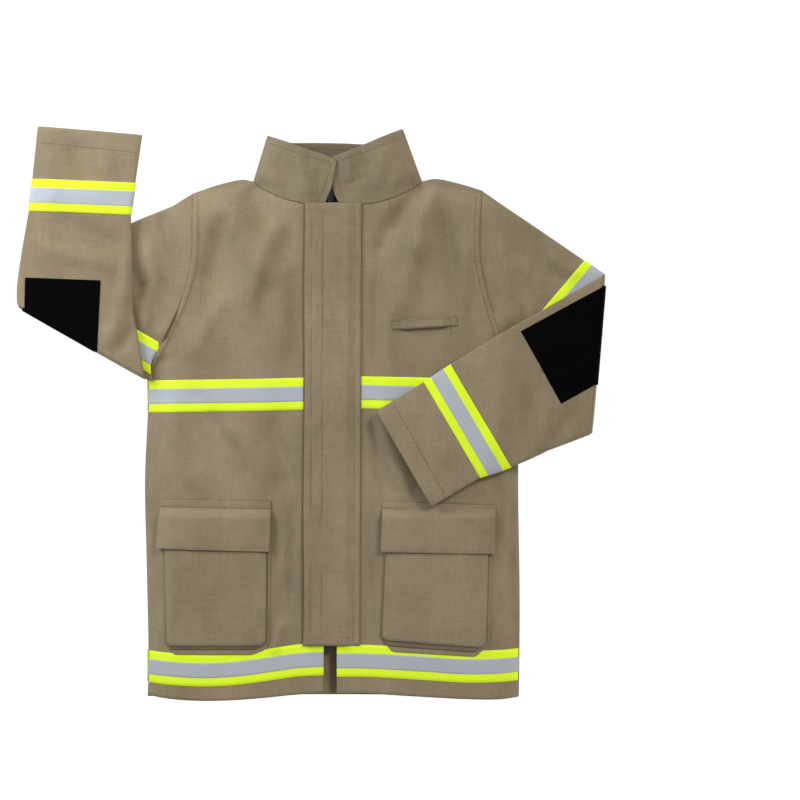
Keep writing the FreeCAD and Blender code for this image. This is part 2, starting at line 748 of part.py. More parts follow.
def across_arm(top, low):
    """The section of a flattened sleeve from its top edge to its lower one."""
    run = f"({low[0]} - ({top[0]}))"
    fall = f"({low[1]} - ({top[1]}))"
    middle = (f"({top[0]} + {low[0]}) / 2", f"({top[1]} + {low[1]}) / 2")
    return middle + (f"sqrt({run}^2 + {fall}^2)", f"atan2({fall}; {run})")


# Each section of a flattened sleeve: the middle of the section in plan, its
# width, the way it runs in plan, its underside and its height.  The sections
# nearest the body run between the shoulder and the underarm, and the others
# keep their places out from the body's side.
RIGHT_CREASE = beside(-1, 72.1, 39.7) + ("164.6", "-29.7 deg")
LEFT_CREASE = beside(1, 89.1, 27.6) + ("179.8", "-94.7 deg")
ARM_END = ("sz.sleeve_low", "sz.sleeve_height")
BODY_END = ("sz.sleeve_low", "sz.body_rise + sz.cloth - sz.sleeve_low")
RIGHT_UPPER = [
    across_arm(by_shoulder(-1, -21.2, 12), beside(-1, -22.9, -6.5)) + BODY_END,
    across_arm(by_shoulder(-1, 30.5, -18.3), beside(-1, -2.8, 1)) + ARM_END,
    RIGHT_CREASE + ARM_END,
]
LEFT_UPPER = [
    across_arm(by_shoulder(1, -21.4, 18), beside(1, -18.7, -8.5)) + BODY_END,
    across_arm(by_shoulder(1, 28.2, -16), beside(1, 0.7, -2.5)) + ARM_END,
    LEFT_CREASE + ARM_END,
]


def back_from(crease, side):
    """The crease moved a little towards the forearm."""
    x, y, width, turn = crease
    over = f"{x} + sz.crease_gap * {side} * sin({turn})"
    along = f"{y} - sz.crease_gap * {side} * cos({turn})"
    return (over, along, width, turn)


RIGHT_LEVEL = (FOREARM_LOW, "sz.sleeve_height")
RIGHT_FOREARM = [
    back_from(RIGHT_CREASE, -1) + RIGHT_LEVEL,
    beside(-1, 78.5, 93) + ("134.7", "-15.9 deg") + RIGHT_LEVEL,
    beside(-1, 73.3, 186.1) + ("114.7", "-2.3 deg") + RIGHT_LEVEL,
    beside(-1, 62, 276.4) + ("sz.cuff_width", "-4.8 deg") + RIGHT_LEVEL,
]


def on_chest(share):
    """Underside and height of the left forearm, rising towards its cuff."""
    return (f"{FRONT_TOP} + sz.sleeve_clear + sz.left_lift * {share}", "sz.sleeve_height")


LEFT_FOREARM = [
    back_from(LEFT_CREASE, 1) + (FOREARM_LOW, "sz.sleeve_height"),
    beside(1, 30.6, -1) + ("160.2", "-89.6 deg") + on_chest(0),
    beside(1, -69.3, -53.6) + ("125.2", "-64.6 deg") + on_chest(0.62),
    beside(1, -128.8, -89.5) + ("sz.cuff_width + 6", "-60 deg") + on_chest(1),
]

# The rounded ends of a flattened tube: sine and cosine of 90, 54, 18 degrees
# and so on down, going round the end.
ROUND = [(1.0, 0.0), (0.809, 0.588), (0.309, 0.951), (-0.309, 0.951), (-0.809, 0.588), (-1.0, 0.0)]


def flat_ring(width, low, height, grow):
    """Section of a flattened tube, grown outwards by an amount."""
    radius = f"(({height}) / 2 + {grow})"
    level = f"({low}) + ({height}) / 2"
    near = f"({width}) / 2 - ({height}) / 2"
    points = []
    for up, out in ROUND:
        points.append((f"{near} + {radius} * {out}", f"{level} + {radius} * {up}"))
    for up, out in reversed(ROUND):
        points.append((f"-({near} + {radius} * {out})", f"{level} + {radius} * {up}"))
    return points


def tube(name, sections, outer, inner):
    """A hollow flattened tube through a row of upright sections."""
    body = doc.addObject("PartDesign::Body", name)
    for kind, grow in (("AdditiveLoft", outer), ("SubtractiveLoft", inner)):
        rings = []
        for number, (x, y, width, turn, low, height) in enumerate(sections):
            ring = polygon(
                body,
                f"{name}_{kind}_{number}",
                "XZ_Plane",
                [flat_ring(width, low, height, grow)],
                across=x,
                out=f"-({y})",
                turn=turn,
            )
            ring.Visibility = False
            rings.append(ring)
        loft = body.newObject(f"PartDesign::{kind}", f"{name}_{kind}")
        loft.Profile = rings[0]
        loft.Sections = rings[1:]
        loft.Ruled = True
    return body


def off_body(body, side):
    """Take away what would lie inside the coat's body."""
    curve = armhole_curve(side)
    top = half(side, [("sz.shoulder_x", "sz.shoulder_y + 200")])
    low = [("sz.half_width", "-300")] if side > 0 else [("-sz.half_width", "-300")]
    inside = [(f"{side} * -20", "-300"), (f"{side} * -20", "sz.shoulder_y + 200")]
    points = low + curve + top + list(reversed(inside))
    sketch = polygon(body, f"{body.Name}_armhole", "XY_Plane", [points])
    cut_through(body, sketch)


# Half of a length that is longer than any sleeve is wide.
PAST_SLEEVE = "180"


def stretch(centre, turn, near, far, half_length):
    """A straight band in plan, between two distances from a line."""
    x, y = centre
    along = (f"cos({turn})", f"sin({turn})")
    across = (f"-sin({turn})", f"cos({turn})")
    points = []
    for distance, reach in ((near, -1), (near, 1), (far, 1), (far, -1)):
        points.append(
            (
                f"{x} + {along[0]} * {reach} * {half_length} + {across[0]} * ({distance})",
                f"{y} + {along[1]} * {reach} * {half_length} + {across[1]} * ({distance})",
            )
        )
    return points


def band(name, sections, centre, turn, middle, side=None):
    """Lime tape round a sleeve, and the reflective stripe on it."""
    layers = (
        ("band", "sz.tape_cloth", "0", "sz.trim_width"),
        ("stripe", "sz.tape_cloth + sz.stripe_cloth", "sz.tape_cloth", "sz.stripe_width"),
    )
    for layer, outer, inner, width in layers:
        body = tube(f"{name}_{layer}_ring", sections, outer, inner)
        near = f"{middle} - {width} / 2"
        far = f"{middle} + {width} / 2"
        trim_to(body, stretch(centre, turn, near, far, PAST_SLEEVE))
        if side is not None:
            off_body(body, side)
        keep(body, f"{name}_{layer}")


sleeve = tube("right_upper", RIGHT_UPPER, "0", "-sz.cloth")
off_body(sleeve, -1)
keep(sleeve, "right_upper_sleeve")
sleeve = tube("left_upper", LEFT_UPPER, "0", "-sz.cloth")
off_body(sleeve, 1)
keep(sleeve, "left_upper_sleeve")
keep(tube("right_lower", RIGHT_FOREARM, "0", "-sz.cloth"), "right_forearm")
keep(tube("left_lower", LEFT_FOREARM, "0", "-sz.cloth"), "left_forearm")

band(
    "right_upper",
    RIGHT_UPPER,
    RIGHT_CREASE[:2],
    RIGHT_CREASE[3],
    "(sz.band_gap + sz.trim_width / 2)",
    side=-1,
)
band(
    "left_upper", LEFT_UPPER, beside(1, 51.6, 106.5), "-130.4 deg", "(sz.trim_width / 2)", side=1
)
band("right_cuff", RIGHT_FOREARM, beside(-1, 71.5, 202.9), "-2.2 deg", "0")
band("left_cuff", LEFT_FOREARM, beside(1, -59, -50), "-59.5 deg", "0")

# ---------------------------------------------------------------- elbow patches

TOP_OF_FOREARM = f"{FOREARM_LOW} + sz.sleeve_height"
patch = [
    beside(-1, 134.2, 111.5),
    beside(-1, 49.4, 109.3),
    beside(-1, 53.6, 32),
    beside(-1, 134.2, 78),
]
item = plate("right_patch_cloth", patch, TOP_OF_FOREARM, "sz.patch_cloth")
keep(item, "right_elbow_patch")

# The left forearm's top is a twisted strip, so its patch is the outer skin of
# a tube, cut to shape in plan and kept only above the middle of the sleeve.
body = tube("left_patch_skin", LEFT_FOREARM, "sz.patch_cloth", "0")
patch = [
    beside(1, 3.2, 50.5),
    beside(1, 86.2, 94.5),
    beside(1, 87.2, -4.5),
    beside(1, 46.6, -26.5),
]
trim_to(body, patch)
MIDDLE_OF_FOREARM = f"{FOREARM_LOW} + sz.sleeve_height * 0.75"
below = [("-600", "-50"), ("600", "-50"), ("600", MIDDLE_OF_FOREARM), ("-600", MIDDLE_OF_FOREARM)]
cut_through(body, polygon(body, "left_patch_below", "XZ_Plane", [below]))
keep(body, "left_elbow_patch")

# ---------------------------------------------------------------- write

doc.recompute()
for item in doc.Objects:
    if "Invalid" in item.State or "Error" in item.State or "Touched" in item.State:
        raise RuntimeError(f"{item.Label} did not build: {item.State}")
for item in nodes:
    if item.Shape.isNull() or not item.Shape.isValid():
        raise RuntimeError(f"{item.Label} has no sound shape")
    if len(item.Shape.Solids) != 1:
        raise RuntimeError(f"{item.Label} has {len(item.Shape.Solids)} solids")
for item in nodes:
    item.Shape.exportStep(f"parts/{item.Label}.step")
print(len(nodes), "sub-parts written")
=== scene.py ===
import json
import math

import bmesh
import bpy
import numpy as np
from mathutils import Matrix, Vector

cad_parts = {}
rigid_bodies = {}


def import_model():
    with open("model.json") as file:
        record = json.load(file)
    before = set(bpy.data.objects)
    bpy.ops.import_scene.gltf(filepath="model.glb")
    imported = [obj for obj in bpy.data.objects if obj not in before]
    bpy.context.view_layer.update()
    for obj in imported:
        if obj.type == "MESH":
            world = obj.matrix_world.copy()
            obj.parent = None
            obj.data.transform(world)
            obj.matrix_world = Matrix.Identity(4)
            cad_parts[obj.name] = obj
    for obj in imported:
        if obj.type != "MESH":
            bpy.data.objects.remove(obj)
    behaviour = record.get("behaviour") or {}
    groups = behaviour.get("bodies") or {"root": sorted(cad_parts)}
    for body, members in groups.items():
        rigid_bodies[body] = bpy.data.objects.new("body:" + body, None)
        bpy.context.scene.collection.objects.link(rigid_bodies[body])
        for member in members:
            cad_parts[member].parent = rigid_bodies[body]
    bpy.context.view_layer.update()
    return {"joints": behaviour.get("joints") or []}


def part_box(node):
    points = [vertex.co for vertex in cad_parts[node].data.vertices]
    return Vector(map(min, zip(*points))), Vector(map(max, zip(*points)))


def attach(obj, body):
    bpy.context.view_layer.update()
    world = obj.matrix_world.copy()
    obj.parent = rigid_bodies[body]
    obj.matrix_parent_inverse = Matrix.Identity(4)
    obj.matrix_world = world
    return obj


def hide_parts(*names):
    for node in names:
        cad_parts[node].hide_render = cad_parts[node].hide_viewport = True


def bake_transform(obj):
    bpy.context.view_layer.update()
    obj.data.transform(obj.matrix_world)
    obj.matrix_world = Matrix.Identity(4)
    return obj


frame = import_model()

# All shapes are worked out in millimetres and scaled once, as a mesh is made.
MM = 0.001


# ------------------------------------------------------------------ pattern
# The sizes that the coat is cut to, read from the frame where it holds them.


def span(node):
    """Lowest and highest corner of a part of the frame, in millimetres."""
    low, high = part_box(node)
    return np.array(low) / MM, np.array(high) / MM


BACK_LOW, BACK_HIGH = span("back_panel")
HALF_WIDTH = BACK_HIGH[0]
HEM = BACK_LOW[1]
NECK_Y = BACK_HIGH[1]
COLLAR_LOW, COLLAR_HIGH = span("collar_back")
NECK_MIDDLE = (COLLAR_LOW[0] + COLLAR_HIGH[0]) / 2
NECK_HALF = (COLLAR_HIGH[0] - COLLAR_LOW[0]) / 2
COLLAR_TOP = COLLAR_HIGH[1]
FRONT_TOP = span("right_front_panel")[1][2]
CLOTH = BACK_HIGH[2] - BACK_LOW[2]
FLAP_LOW, FLAP_HIGH = span("storm_flap")
STRIP_HIGH = span("storm_flap_strip")[1]
TRIM_WIDTH = span("chest_trim_back")[1][1] - span("chest_trim_back")[0][1]
STRIPE_WIDTH = span("chest_stripe_back")[1][1] - span("chest_stripe_back")[0][1]
JOINTS = {joint["name"]: joint for joint in frame["joints"]}
ZIP_MIDDLE = JOINTS["zip_pull_hinge"]["pos_m"][0] / MM

SHOULDER = (162.6, 274.0)
UNDERARM = 66.5
ARMHOLES = {
    -1: [(-202.4, 86), (-189.4, 109.5), (-168.8, 155.5), (-158.2, 197), (-156.4, 236), (-157.4, 274.5)],
    1: [(203.3, 84.5), (188.6, 114), (174.5, 158), (165.6, 200), (165.0, 242), (168.1, 277.5)],
}
SHOULDERS = {-1: [(-130, 283.5), (-104, 289.5)], 1: [(142, 285.3), (117, 290.6)]}
SIDES = {
    -1: [(-207.8, HEM), (-206.8, -243), (-209, -137), (-210.8, -47), (-207, 43), (-208.6, UNDERARM)],
    1: [(209.0, HEM), (209.8, -180), (208.2, -60), (208.6, UNDERARM)],
}
HEMS = {
    -1: [
        (-207.8, -288), (-180, -291.5), (-148, -293.4), (-110, -292.6),
        (-75, -290), (-40, -286.6), (-10, -285),
    ],
    1: [(5, -285.4), (42, -285.6), (90, -288.4), (150, -291.4), (185, -292), (209, -290.6)],
}
TAPE_LINES = {
    ("hem", -1): [(-209, -256.3), (-150, -259.9), (-110, -258.3), (-75, -254), (-40, -249), (-10, -247.4)],
    ("hem", 1): [(5, -249.2), (42, -249.4), (100, -252.5), (150, -255.4), (209, -254.3)],
    ("chest", -1): [(-209, 46.6), (-92, 48.2), (-33, 49.6)],
    ("chest", 1): [(32, 51.2), (110, 49.6), (209, 47)],
}
FRONT_NECK = [(1.0, 0.0), (0.87, 0.33), (0.63, 0.71), (0.37, 0.93), (0.16, 1.0)]
BACK_NECK = [(-1, 0), (-0.68, 7), (0, 10), (0.68, 7), (1, 0)]
NECK_DROP = 27.5


# ------------------------------------------------------------------ curves


def smooth_line(points, step=4.0):
    """A Catmull-Rom curve through a few points, with even steps."""
    points = np.array(points, float)
    if len(points) == 2:
        count = max(2, int(np.linalg.norm(points[1] - points[0]) / step) + 1)
        return points[0] + np.linspace(0, 1, count)[:, None] * (points[1] - points[0])
    knots = np.vstack([2 * points[0] - points[1], points, 2 * points[-1] - points[-2]])
    t = np.linspace(0, 1, 24, endpoint=False)[:, None]
    rows = [
        0.5 * (2 * b + (c - a) * t + (2 * a - 5 * b + 4 * c - d) * t**2 + (3 * b - a - 3 * c + d) * t**3)
        for a, b, c, d in zip(knots, knots[1:], knots[2:], knots[3:])
    ]
    return even(np.vstack([*rows, points[-1:]]), step)


def even(line, step=None, count=None):
    """The same line with its points evenly spaced."""
    line = np.array(line, float)
    length = np.concatenate([[0], np.cumsum(np.linalg.norm(np.diff(line, axis=0), axis=1))])
    if count is None:
        count = max(2, int(round(length[-1] / step)) + 1)
    places = np.linspace(0, length[-1], count)
    return np.stack([np.interp(places, length, line[:, k]) for k in range(line.shape[1])], 1)


def join(*lines):
    """Lines end to end as one."""
    return np.vstack([lines[0], *(line[1:] for line in lines[1:])])


def armhole(side):
    """From the underarm up to the shoulder point."""
    return smooth_line([(side * (HALF_WIDTH - 0.2), UNDERARM), *ARMHOLES[side]])


def shoulder_seam(side):
    """From the shoulder point to the neck point."""
    neck = (side * NECK_HALF + NECK_MIDDLE, NECK_Y)
    return smooth_line([ARMHOLES[side][-1], *SHOULDERS[side], neck])


def body_side(side):
    """From the hem up to the underarm."""
    return smooth_line(SIDES[side])


def level_of(line, x):
    """Height in plan of a smooth line that runs across the body."""
    curve = smooth_line(line)
    return np.interp(x, curve[:, 0], curve[:, 1])


def side_of(side, points):
    """Points of the left half, moved with the neck, for one side."""
    return np.array([(side * x + NECK_MIDDLE * share, y) for x, y, share in points])


def neckline(side, edge):
    """From the neck point down to the front edge."""
    points = [(NECK_HALF * a, NECK_Y - NECK_DROP * b, 1) for a, b in FRONT_NECK]
    line = side_of(side, points)
    line[-1] = (edge, NECK_Y - NECK_DROP)
    return smooth_line(line)


def patch(bottom, top, left, right, across, along):
    """A grid in plan between four lines.  Bottom and top run left to right,
    left and right run upwards."""
    bottom, top = even(bottom, count=across), even(top, count=across)
    left, right = even(left, count=along), even(right, count=along)
    u = np.linspace(0, 1, across)[None, :, None]
    v = np.linspace(0, 1, along)[:, None, None]
    between = (1 - v) * bottom[None] + v * top[None]
    beside = (1 - u) * left[:, None] + u * right[:, None]
    low_corners = (1 - u) * (1 - v) * bottom[0] + u * (1 - v) * bottom[-1]
    corners = low_corners + (1 - u) * v * top[0] + u * v * top[-1]
    return between + beside - corners


def four_sided(corners, across, along):
    """A grid in plan inside four corners, from the top left clockwise."""
    a, b, c, d = np.array(corners, float)
    return patch([d, c], [a, b], [d, a], [c, b], across, along)


def smooth_corner(points):
    """A line with its corners a little rounded."""
    line = even(np.array(points, float), 1.5)
    for _ in range(2):
        line[1:-1] = (line[:-2] + 2 * line[1:-1] + line[2:]) / 4
    return line


# ------------------------------------------------------------------ drape


def ease(low, high, value):
    """0 below low, 1 above high, smooth between."""
    t = np.clip((value - low) / (high - low), 0, 1)
    return t * t * (3 - 2 * t)


def lumps(x, y, size, seed):
    """Smooth seeded noise from -1 to 1 with lumps of one size."""
    table = np.random.default_rng(seed).uniform(-1, 1, (64, 64))
    u, v = np.asarray(x) / size + 1000, np.asarray(y) / size + 1000
    i, j = np.floor(u).astype(int), np.floor(v).astype(int)
    a, b = u - i, v - j
    a, b = a * a * (3 - 2 * a), b * b * (3 - 2 * b)
    here = table[i % 64, j % 64] * (1 - a) + table[(i + 1) % 64, j % 64] * a
    over = table[i % 64, (j + 1) % 64] * (1 - a) + table[(i + 1) % 64, (j + 1) % 64] * a
    return here * (1 - b) + over * b


def bump(value, middle, width):
    """1 at the middle of a ridge or groove, 0 well away from it."""
    return np.exp(-(((value - middle) / width) ** 2))


def folds(x, y, creases, depth=1.5):
    """Soft ridges (or hollows) in cloth, each along a slightly bent line."""
    total = np.zeros_like(np.asarray(x, float))
    for x0, y0, x1, y1, width, rise in creases:
        dx, dy = x1 - x0, y1 - y0
        length = math.hypot(dx, dy)
        t = ((x - x0) * dx + (y - y0) * dy) / length**2
        off = ((x - x0) * -dy + (y - y0) * dx) / length
        bend = 0.12 * length * (t - 0.5) ** 2
        ends = ease(-0.15, 0.2, t) * ease(-1.15, -0.8, -t)
        total += depth * rise * bump(off, bend, width) * ends
    return total


# Ridges and hollows on the body: from, to, half width, rise.
BODY_FOLDS = [
    (-98, 285, -42, 200, 15, -4.6), (-126, 266, -74, 172, 17, 3.8),
    (-110, 235, -140, 110, 17, -3.2), (-60, 250, -96, 150, 12, 3.2),
    (-118, 255, -142, 170, 11, -2.6), (-62, 200, -58, 90, 13, 2.2), (-120, 160, -160, 92, 12, 2.2),
    (-190, 35, -150, -60, 13, 2.4), (-160, 60, -112, -20, 10, -2.2), (-70, 20, -44, -60, 9, -2.6),
    (-60, -60, -50, -160, 11, 2.0), (-46, -90, -44, -200, 6, -1.8),
    (-202, -60, -197, -200, 8, -2.2), (-58, -205, -66, -240, 6, 2.2),
    (-118, 15, -64, -45, 13, 1.8), (102, 290, 64, 232, 8, -3.6), (112, 284, 88, 205, 11, 3.4),
    (74, 262, 50, 205, 9, -2.6), (100, 225, 74, 140, 12, 2.8), (122, 250, 152, 120, 12, -3.6),
    (146, 225, 146, 110, 9, 3.0), (66, 195, 58, 80, 11, 2.0), (48, 180, 50, 90, 6, -1.8),
    (48, 35, 82, -55, 11, 2.6), (40, 20, 62, -68, 7, -3.0), (40, -80, 48, -180, 6, -1.8),
    (198, -60, 202, -230, 8, -2.2), (190, -20, 194, -120, 8, 1.6), (190, -200, 182, -232, 6, 1.8),
]


def armhole_welt(x, y):
    """1 along the folded seam allowance just inside an armhole, else 0."""
    total = np.zeros_like(x)
    for side in (-1, 1):
        line = armhole(side)
        inside = side * (np.interp(y, line[:, 1], line[:, 0]) - x)
        near = ease(-1, 2.5, inside) * (1 - ease(5, 9, inside))
        total = total + near * ease(UNDERARM, UNDERARM + 12, y)
    return total


# Where the front starts to fall to its side, how far below the shoulder seam
# it reaches its height, and where the folds begin beside the flap.
SIDE_FALL = 166
SHOULDER_FALL = 44
FOLDS_FROM = 36


def front_height(x, y):
    """Top of the front cloth over the table."""
    x, y = np.asarray(x, float), np.asarray(y, float)
    out = np.clip((np.abs(x) - SIDE_FALL) / (HALF_WIDTH - SIDE_FALL), 0, 1)
    side = 1 - out**2.6
    seam_run = SHOULDER[0] - NECK_HALF
    seam_fall = NECK_Y - SHOULDER[1]
    away = np.abs(x - NECK_MIDDLE) - NECK_HALF
    below = NECK_Y - y - away * seam_fall / seam_run
    shoulder = 1 - np.clip(1 - below / SHOULDER_FALL, 0, 1) ** 2.4
    shoulder = np.where(y > NECK_Y - 90, shoulder, 1)
    # Beside the sleeve the front stays up, because the sleeve is under it.
    side = np.where(y > UNDERARM, np.maximum(side, ease(UNDERARM, UNDERARM + 30, y)), side)
    low = CLOTH * 2 - 0.6
    across = np.clip((np.abs(x) - FOLDS_FROM) / (HALF_WIDTH - FOLDS_FROM), 0, 1)
    crown = 2.2 * np.sin(across * math.pi)
    calm = ease(FOLDS_FROM - 6, FOLDS_FROM + 16, np.abs(x))
    wave = 1.9 * lumps(x, y, 74, 3) + 1.0 * lumps(x, y * 0.6, 27, 5)
    drape = (wave + folds(x, y, BODY_FOLDS, 2.0)) * calm * ease(0, 0.5, side * shoulder)
    rise = (FRONT_TOP - low + crown) * side * shoulder
    return low + rise + drape + 0.9 * armhole_welt(x, y) * ease(0.2, 0.8, shoulder)


# ------------------------------------------------------------------ meshes

objects = bpy.context.scene.collection.objects


def mesh_piece(name, corners, faces, material, smooth=True, edge_faces=0):
    """A new object from corners in millimetres, with its faces outwards.
    The last faces of a piece of shell cloth, round its rim, take a much darker twill: painted shade along
    the edge."""
    mesh = bpy.data.meshes.new(name)
    mesh.from_pydata([tuple(c) for c in np.asarray(corners) * MM], [], faces)
    mesh.materials.append(material)
    # Rim faces of shell, collar and webbing cloth take the painted edge shade.
    if edge_faces and material in (SHELL, COLLAR, WEBBING):
        mesh.materials.append(EDGE_SHADE)
        for face in mesh.polygons[len(faces) - edge_faces :]:
            face.material_index = 1
    work = bmesh.new()
    work.from_mesh(mesh)
    bmesh.ops.remove_doubles(work, verts=work.verts, dist=1e-6)
    bmesh.ops.recalc_face_normals(work, faces=work.faces)
    if work.calc_volume(signed=True) < 0:
        bmesh.ops.reverse_faces(work, faces=work.faces)
    work.to_mesh(mesh)
    work.free()
    mesh.polygons.foreach_set("use_smooth", [smooth] * len(mesh.polygons))
    piece = bpy.data.objects.new(name, mesh)
    objects.link(piece)
    return piece


def grid_normals(grid, wrap):
    """Unit normals of a grid of points."""
    along = np.gradient(grid, axis=0)
    if wrap:
        across = (np.roll(grid, -1, 1) - np.roll(grid, 1, 1)) / 2
    else:
        across = np.gradient(grid, axis=1)
    normal = np.cross(across, along)
    return normal / np.maximum(np.linalg.norm(normal, axis=2, keepdims=True), 1e-9)


def shell(name, grid, thick, material, wrap=False, face_up=True):
    """Cloth of a given thickness under a grid, with rounded edges."""
    grid = np.asarray(grid, float)
    rows, columns = grid.shape[:2]
    normal = grid_normals(grid, wrap)
    if face_up and not wrap and normal[..., 2].mean() < 0:
        normal = -normal
    if wrap:
        centre = grid.mean(axis=1, keepdims=True)
        if ((grid - centre) * normal).sum() < 0:
            normal = -normal
    under = grid - normal * thick
    corners = [grid.reshape(-1, 3), under.reshape(-1, 3)]
    lower = rows * columns
    faces = []

    def at(i, j, layer):
        return layer * lower + i * columns + j % columns

    wide = columns if wrap else columns - 1
    for i in range(rows - 1):
        for j in range(wide):
            faces.append((at(i, j, 0), at(i, j + 1, 0), at(i + 1, j + 1, 0), at(i + 1, j, 0)))
            faces.append((at(i, j, 1), at(i + 1, j, 1), at(i + 1, j + 1, 1), at(i, j + 1, 1)))
    if wrap:
        rims = [[(0, j) for j in range(columns)], [(rows - 1, j) for j in range(columns)]]
    else:
        rim = [(0, j) for j in range(columns)]
        rim += [(i, columns - 1) for i in range(1, rows)]
        rim += [(rows - 1, j) for j in range(columns - 2, -1, -1)]
        rim += [(i, 0) for i in range(rows - 2, 0, -1)]
        rims = [rim]
    start = 2 * lower
    flat_faces = len(faces)
    for rim in rims:
        ring = []
        for i, j in rim:
            inner_i = min(max(i, 1), rows - 2)
            inner_j = j if wrap else min(max(j, 1), columns - 2)
            out = grid[i, j] - grid[inner_i, inner_j]
            out = out / max(np.linalg.norm(out), 1e-9)
            ring.append((grid[i, j] + under[i, j]) / 2 + out * thick * 0.3)
        corners.append(np.array(ring))
        count = len(rim)
        for k in range(count):
            a, b = rim[k], rim[(k + 1) % count]
            first, second = start + k, start + (k + 1) % count
            faces.append((at(*a, 0), first, second, at(*b, 0)))
            faces.append((first, at(*a, 1), at(*b, 1), second))
        start += count
    edge = len(faces) - flat_faces
    return mesh_piece(name, np.vstack(corners), faces, material, edge_faces=edge)


def rise_on(grid, height):
    """Put heights on a grid in plan."""
    return np.concatenate([grid, np.asarray(height)[..., None]], axis=2)


# ------------------------------------------------------------------ materials


class Nodes:
    """A node tree, built by calls."""

    def __init__(self, tree):
        self.tree = tree

    def link(self, value, socket):
        """Join a value, a socket or a plain number to an input."""
        if isinstance(value, Value):
            value = value.socket
        if isinstance(value, bpy.types.NodeSocket):
            self.tree.links.new(value, socket)
        else:
            socket.default_value = value

    def node(self, kind, settings, *values, **named):
        """Any node: its settings first, then its inputs."""
        node = self.tree.nodes.new(kind)
        for key, value in settings.items():
            setattr(node, key, value)
        for socket, value in zip(node.inputs, values):
            self.link(value, socket)
        for key, value in named.items():
            self.link(value, node.inputs[key.replace("_", " ")])
        return node


class Value:
    """A number's socket that can be used in Python expressions."""

    def __init__(self, shader, socket):
        self.shader, self.socket = shader, socket

    def _math(self, operation, *values):
        return self.shader.add("ShaderNodeMath", {"operation": operation}, *values)

    def __add__(self, other):
        return self._math("ADD", self, other)

    __radd__ = __add__

    def __sub__(self, other):
        return self._math("SUBTRACT", self, other)

    def __rsub__(self, other):
        return self._math("SUBTRACT", other, self)

    def __mul__(self, other):
        return self._math("MULTIPLY", self, other)

    def sine(self):
        return self._math("SINE", self)


class Shader(Nodes):
    """One material, with its nodes added by expressions."""

    def __init__(self, name, **principled):
        self.material = bpy.data.materials.new(name)
        self.material.use_nodes = True
        super().__init__(self.material.node_tree)
        self.main = self.tree.nodes["Principled BSDF"]
        for socket, value in principled.items():
            self.main.inputs[socket.replace("_", " ")].default_value = value
        self.place = self.tree.nodes.new("ShaderNodeTexCoord").outputs["Object"]
        split = self.node("ShaderNodeSeparateXYZ", {}, self.place)
        self.x, self.y, self.z = (Value(self, output) for output in split.outputs)

    def add(self, kind, settings, *values, **named):
        """A node, of which the first output is used."""
        return Value(self, self.node(kind, settings, *values, **named).outputs[0])

    def noise(self, scale, detail=2.0, roughness=0.5, stretch=(1, 1, 1)):
        """Noise from 0 to 1 on the piece's own coordinates, in metres."""
        place = self.add("ShaderNodeVectorMath", {"operation": "MULTIPLY"}, self.place, stretch)
        inputs = {"Vector": place, "Scale": scale, "Detail": detail, "Roughness": roughness}
        return self.add("ShaderNodeTexNoise", {}, **inputs)

    def blend(self, amount, first, second):
        """A colour between two others."""
        mixed = self.node("ShaderNodeMix", {"data_type": "RGBA"})
        self.link(amount, mixed.inputs[0])
        for index, colour in ((6, first), (7, second)):
            self.link(colour if isinstance(colour, Value) else (*colour, 1), mixed.inputs[index])
        return Value(self, mixed.outputs[2])

    def glow(self, colour, strength):
        """Light that the surface gives off of itself."""
        self.main.inputs["Emission Color"].default_value = (*colour, 1)
        self.main.inputs["Emission Strength"].default_value = strength

    def finish(self, colour, roughness, height=None, relief=0.0002, strength=0.5):
        """Join colour, roughness and relief to the surface."""
        self.link(colour, self.main.inputs["Base Color"])
        self.link(roughness, self.main.inputs["Roughness"])
        if height is not None:
            normal = self.add("ShaderNodeBump", {}, Strength=strength, Distance=relief, Height=height)
            self.link(normal, self.main.inputs["Normal"])
        return self.material


def tint(colour, share):
    """A colour made lighter or darker."""
    return tuple(min(1.0, part * share) for part in colour)


def twill(name, colour, yarn=0.9, mottle=0.10):
    """Diagonal twill: raised yarns in slanting ribs, with uneven dye and broad blotches of painted shade.
    """
    shader = Shader(name, Specular_IOR_Level=0.28, Sheen_Weight=0.12, Sheen_Roughness=0.6)
    turn = 2 * math.pi / (yarn * MM)
    slub = (shader.noise(900, 3) - 0.5) * 2.2
    rib = ((shader.x * 0.86 + shader.y * 0.5) * turn + slub).sine()
    pick = ((shader.y * 0.94 - shader.x * 0.34) * (turn * 0.62) + slub).sine()
    weave = rib * 0.34 + pick * 0.16 + 0.5
    # The broad wash of darker and lighter blotches is partly uneven dye and partly painted shade, standing
    # in for the soft shading of folds.
    wash = (shader.noise(13, 4, 0.6, (1.5, 0.8, 1)) - 0.5) * 3.4 + 0.5
    grain = shader.noise(520, 3, 0.7)
    streak = shader.noise(420, 2, 0.6, (1, 0.08, 1)) * 0.5 + shader.noise(420, 2, 0.6, (0.08, 1, 1)) * 0.5
    fibre = shader.noise(2600, 2)
    warm = shader.blend(wash, tint(colour, 1 - mottle), tint(colour, 1 + mottle))
    grey = shader.blend(wash, tint(colour, 0.9), (colour[0] * 1.1, colour[1] * 1.14, colour[2] * 1.26))
    pale = shader.blend(grain, warm, grey)
    deep = shader.blend(wash, tint(colour, 0.66), tint(colour, 0.82))
    slubs = weave * 0.5 + grain * 1.6 + streak * 1.7 + fibre * 0.3
    cloth = shader.blend(slubs - 1.4, deep, pale)
    roughness = 0.92 - weave * 0.14
    return shader.finish(cloth, roughness, weave + fibre * 0.35, relief=0.00022, strength=0.45)


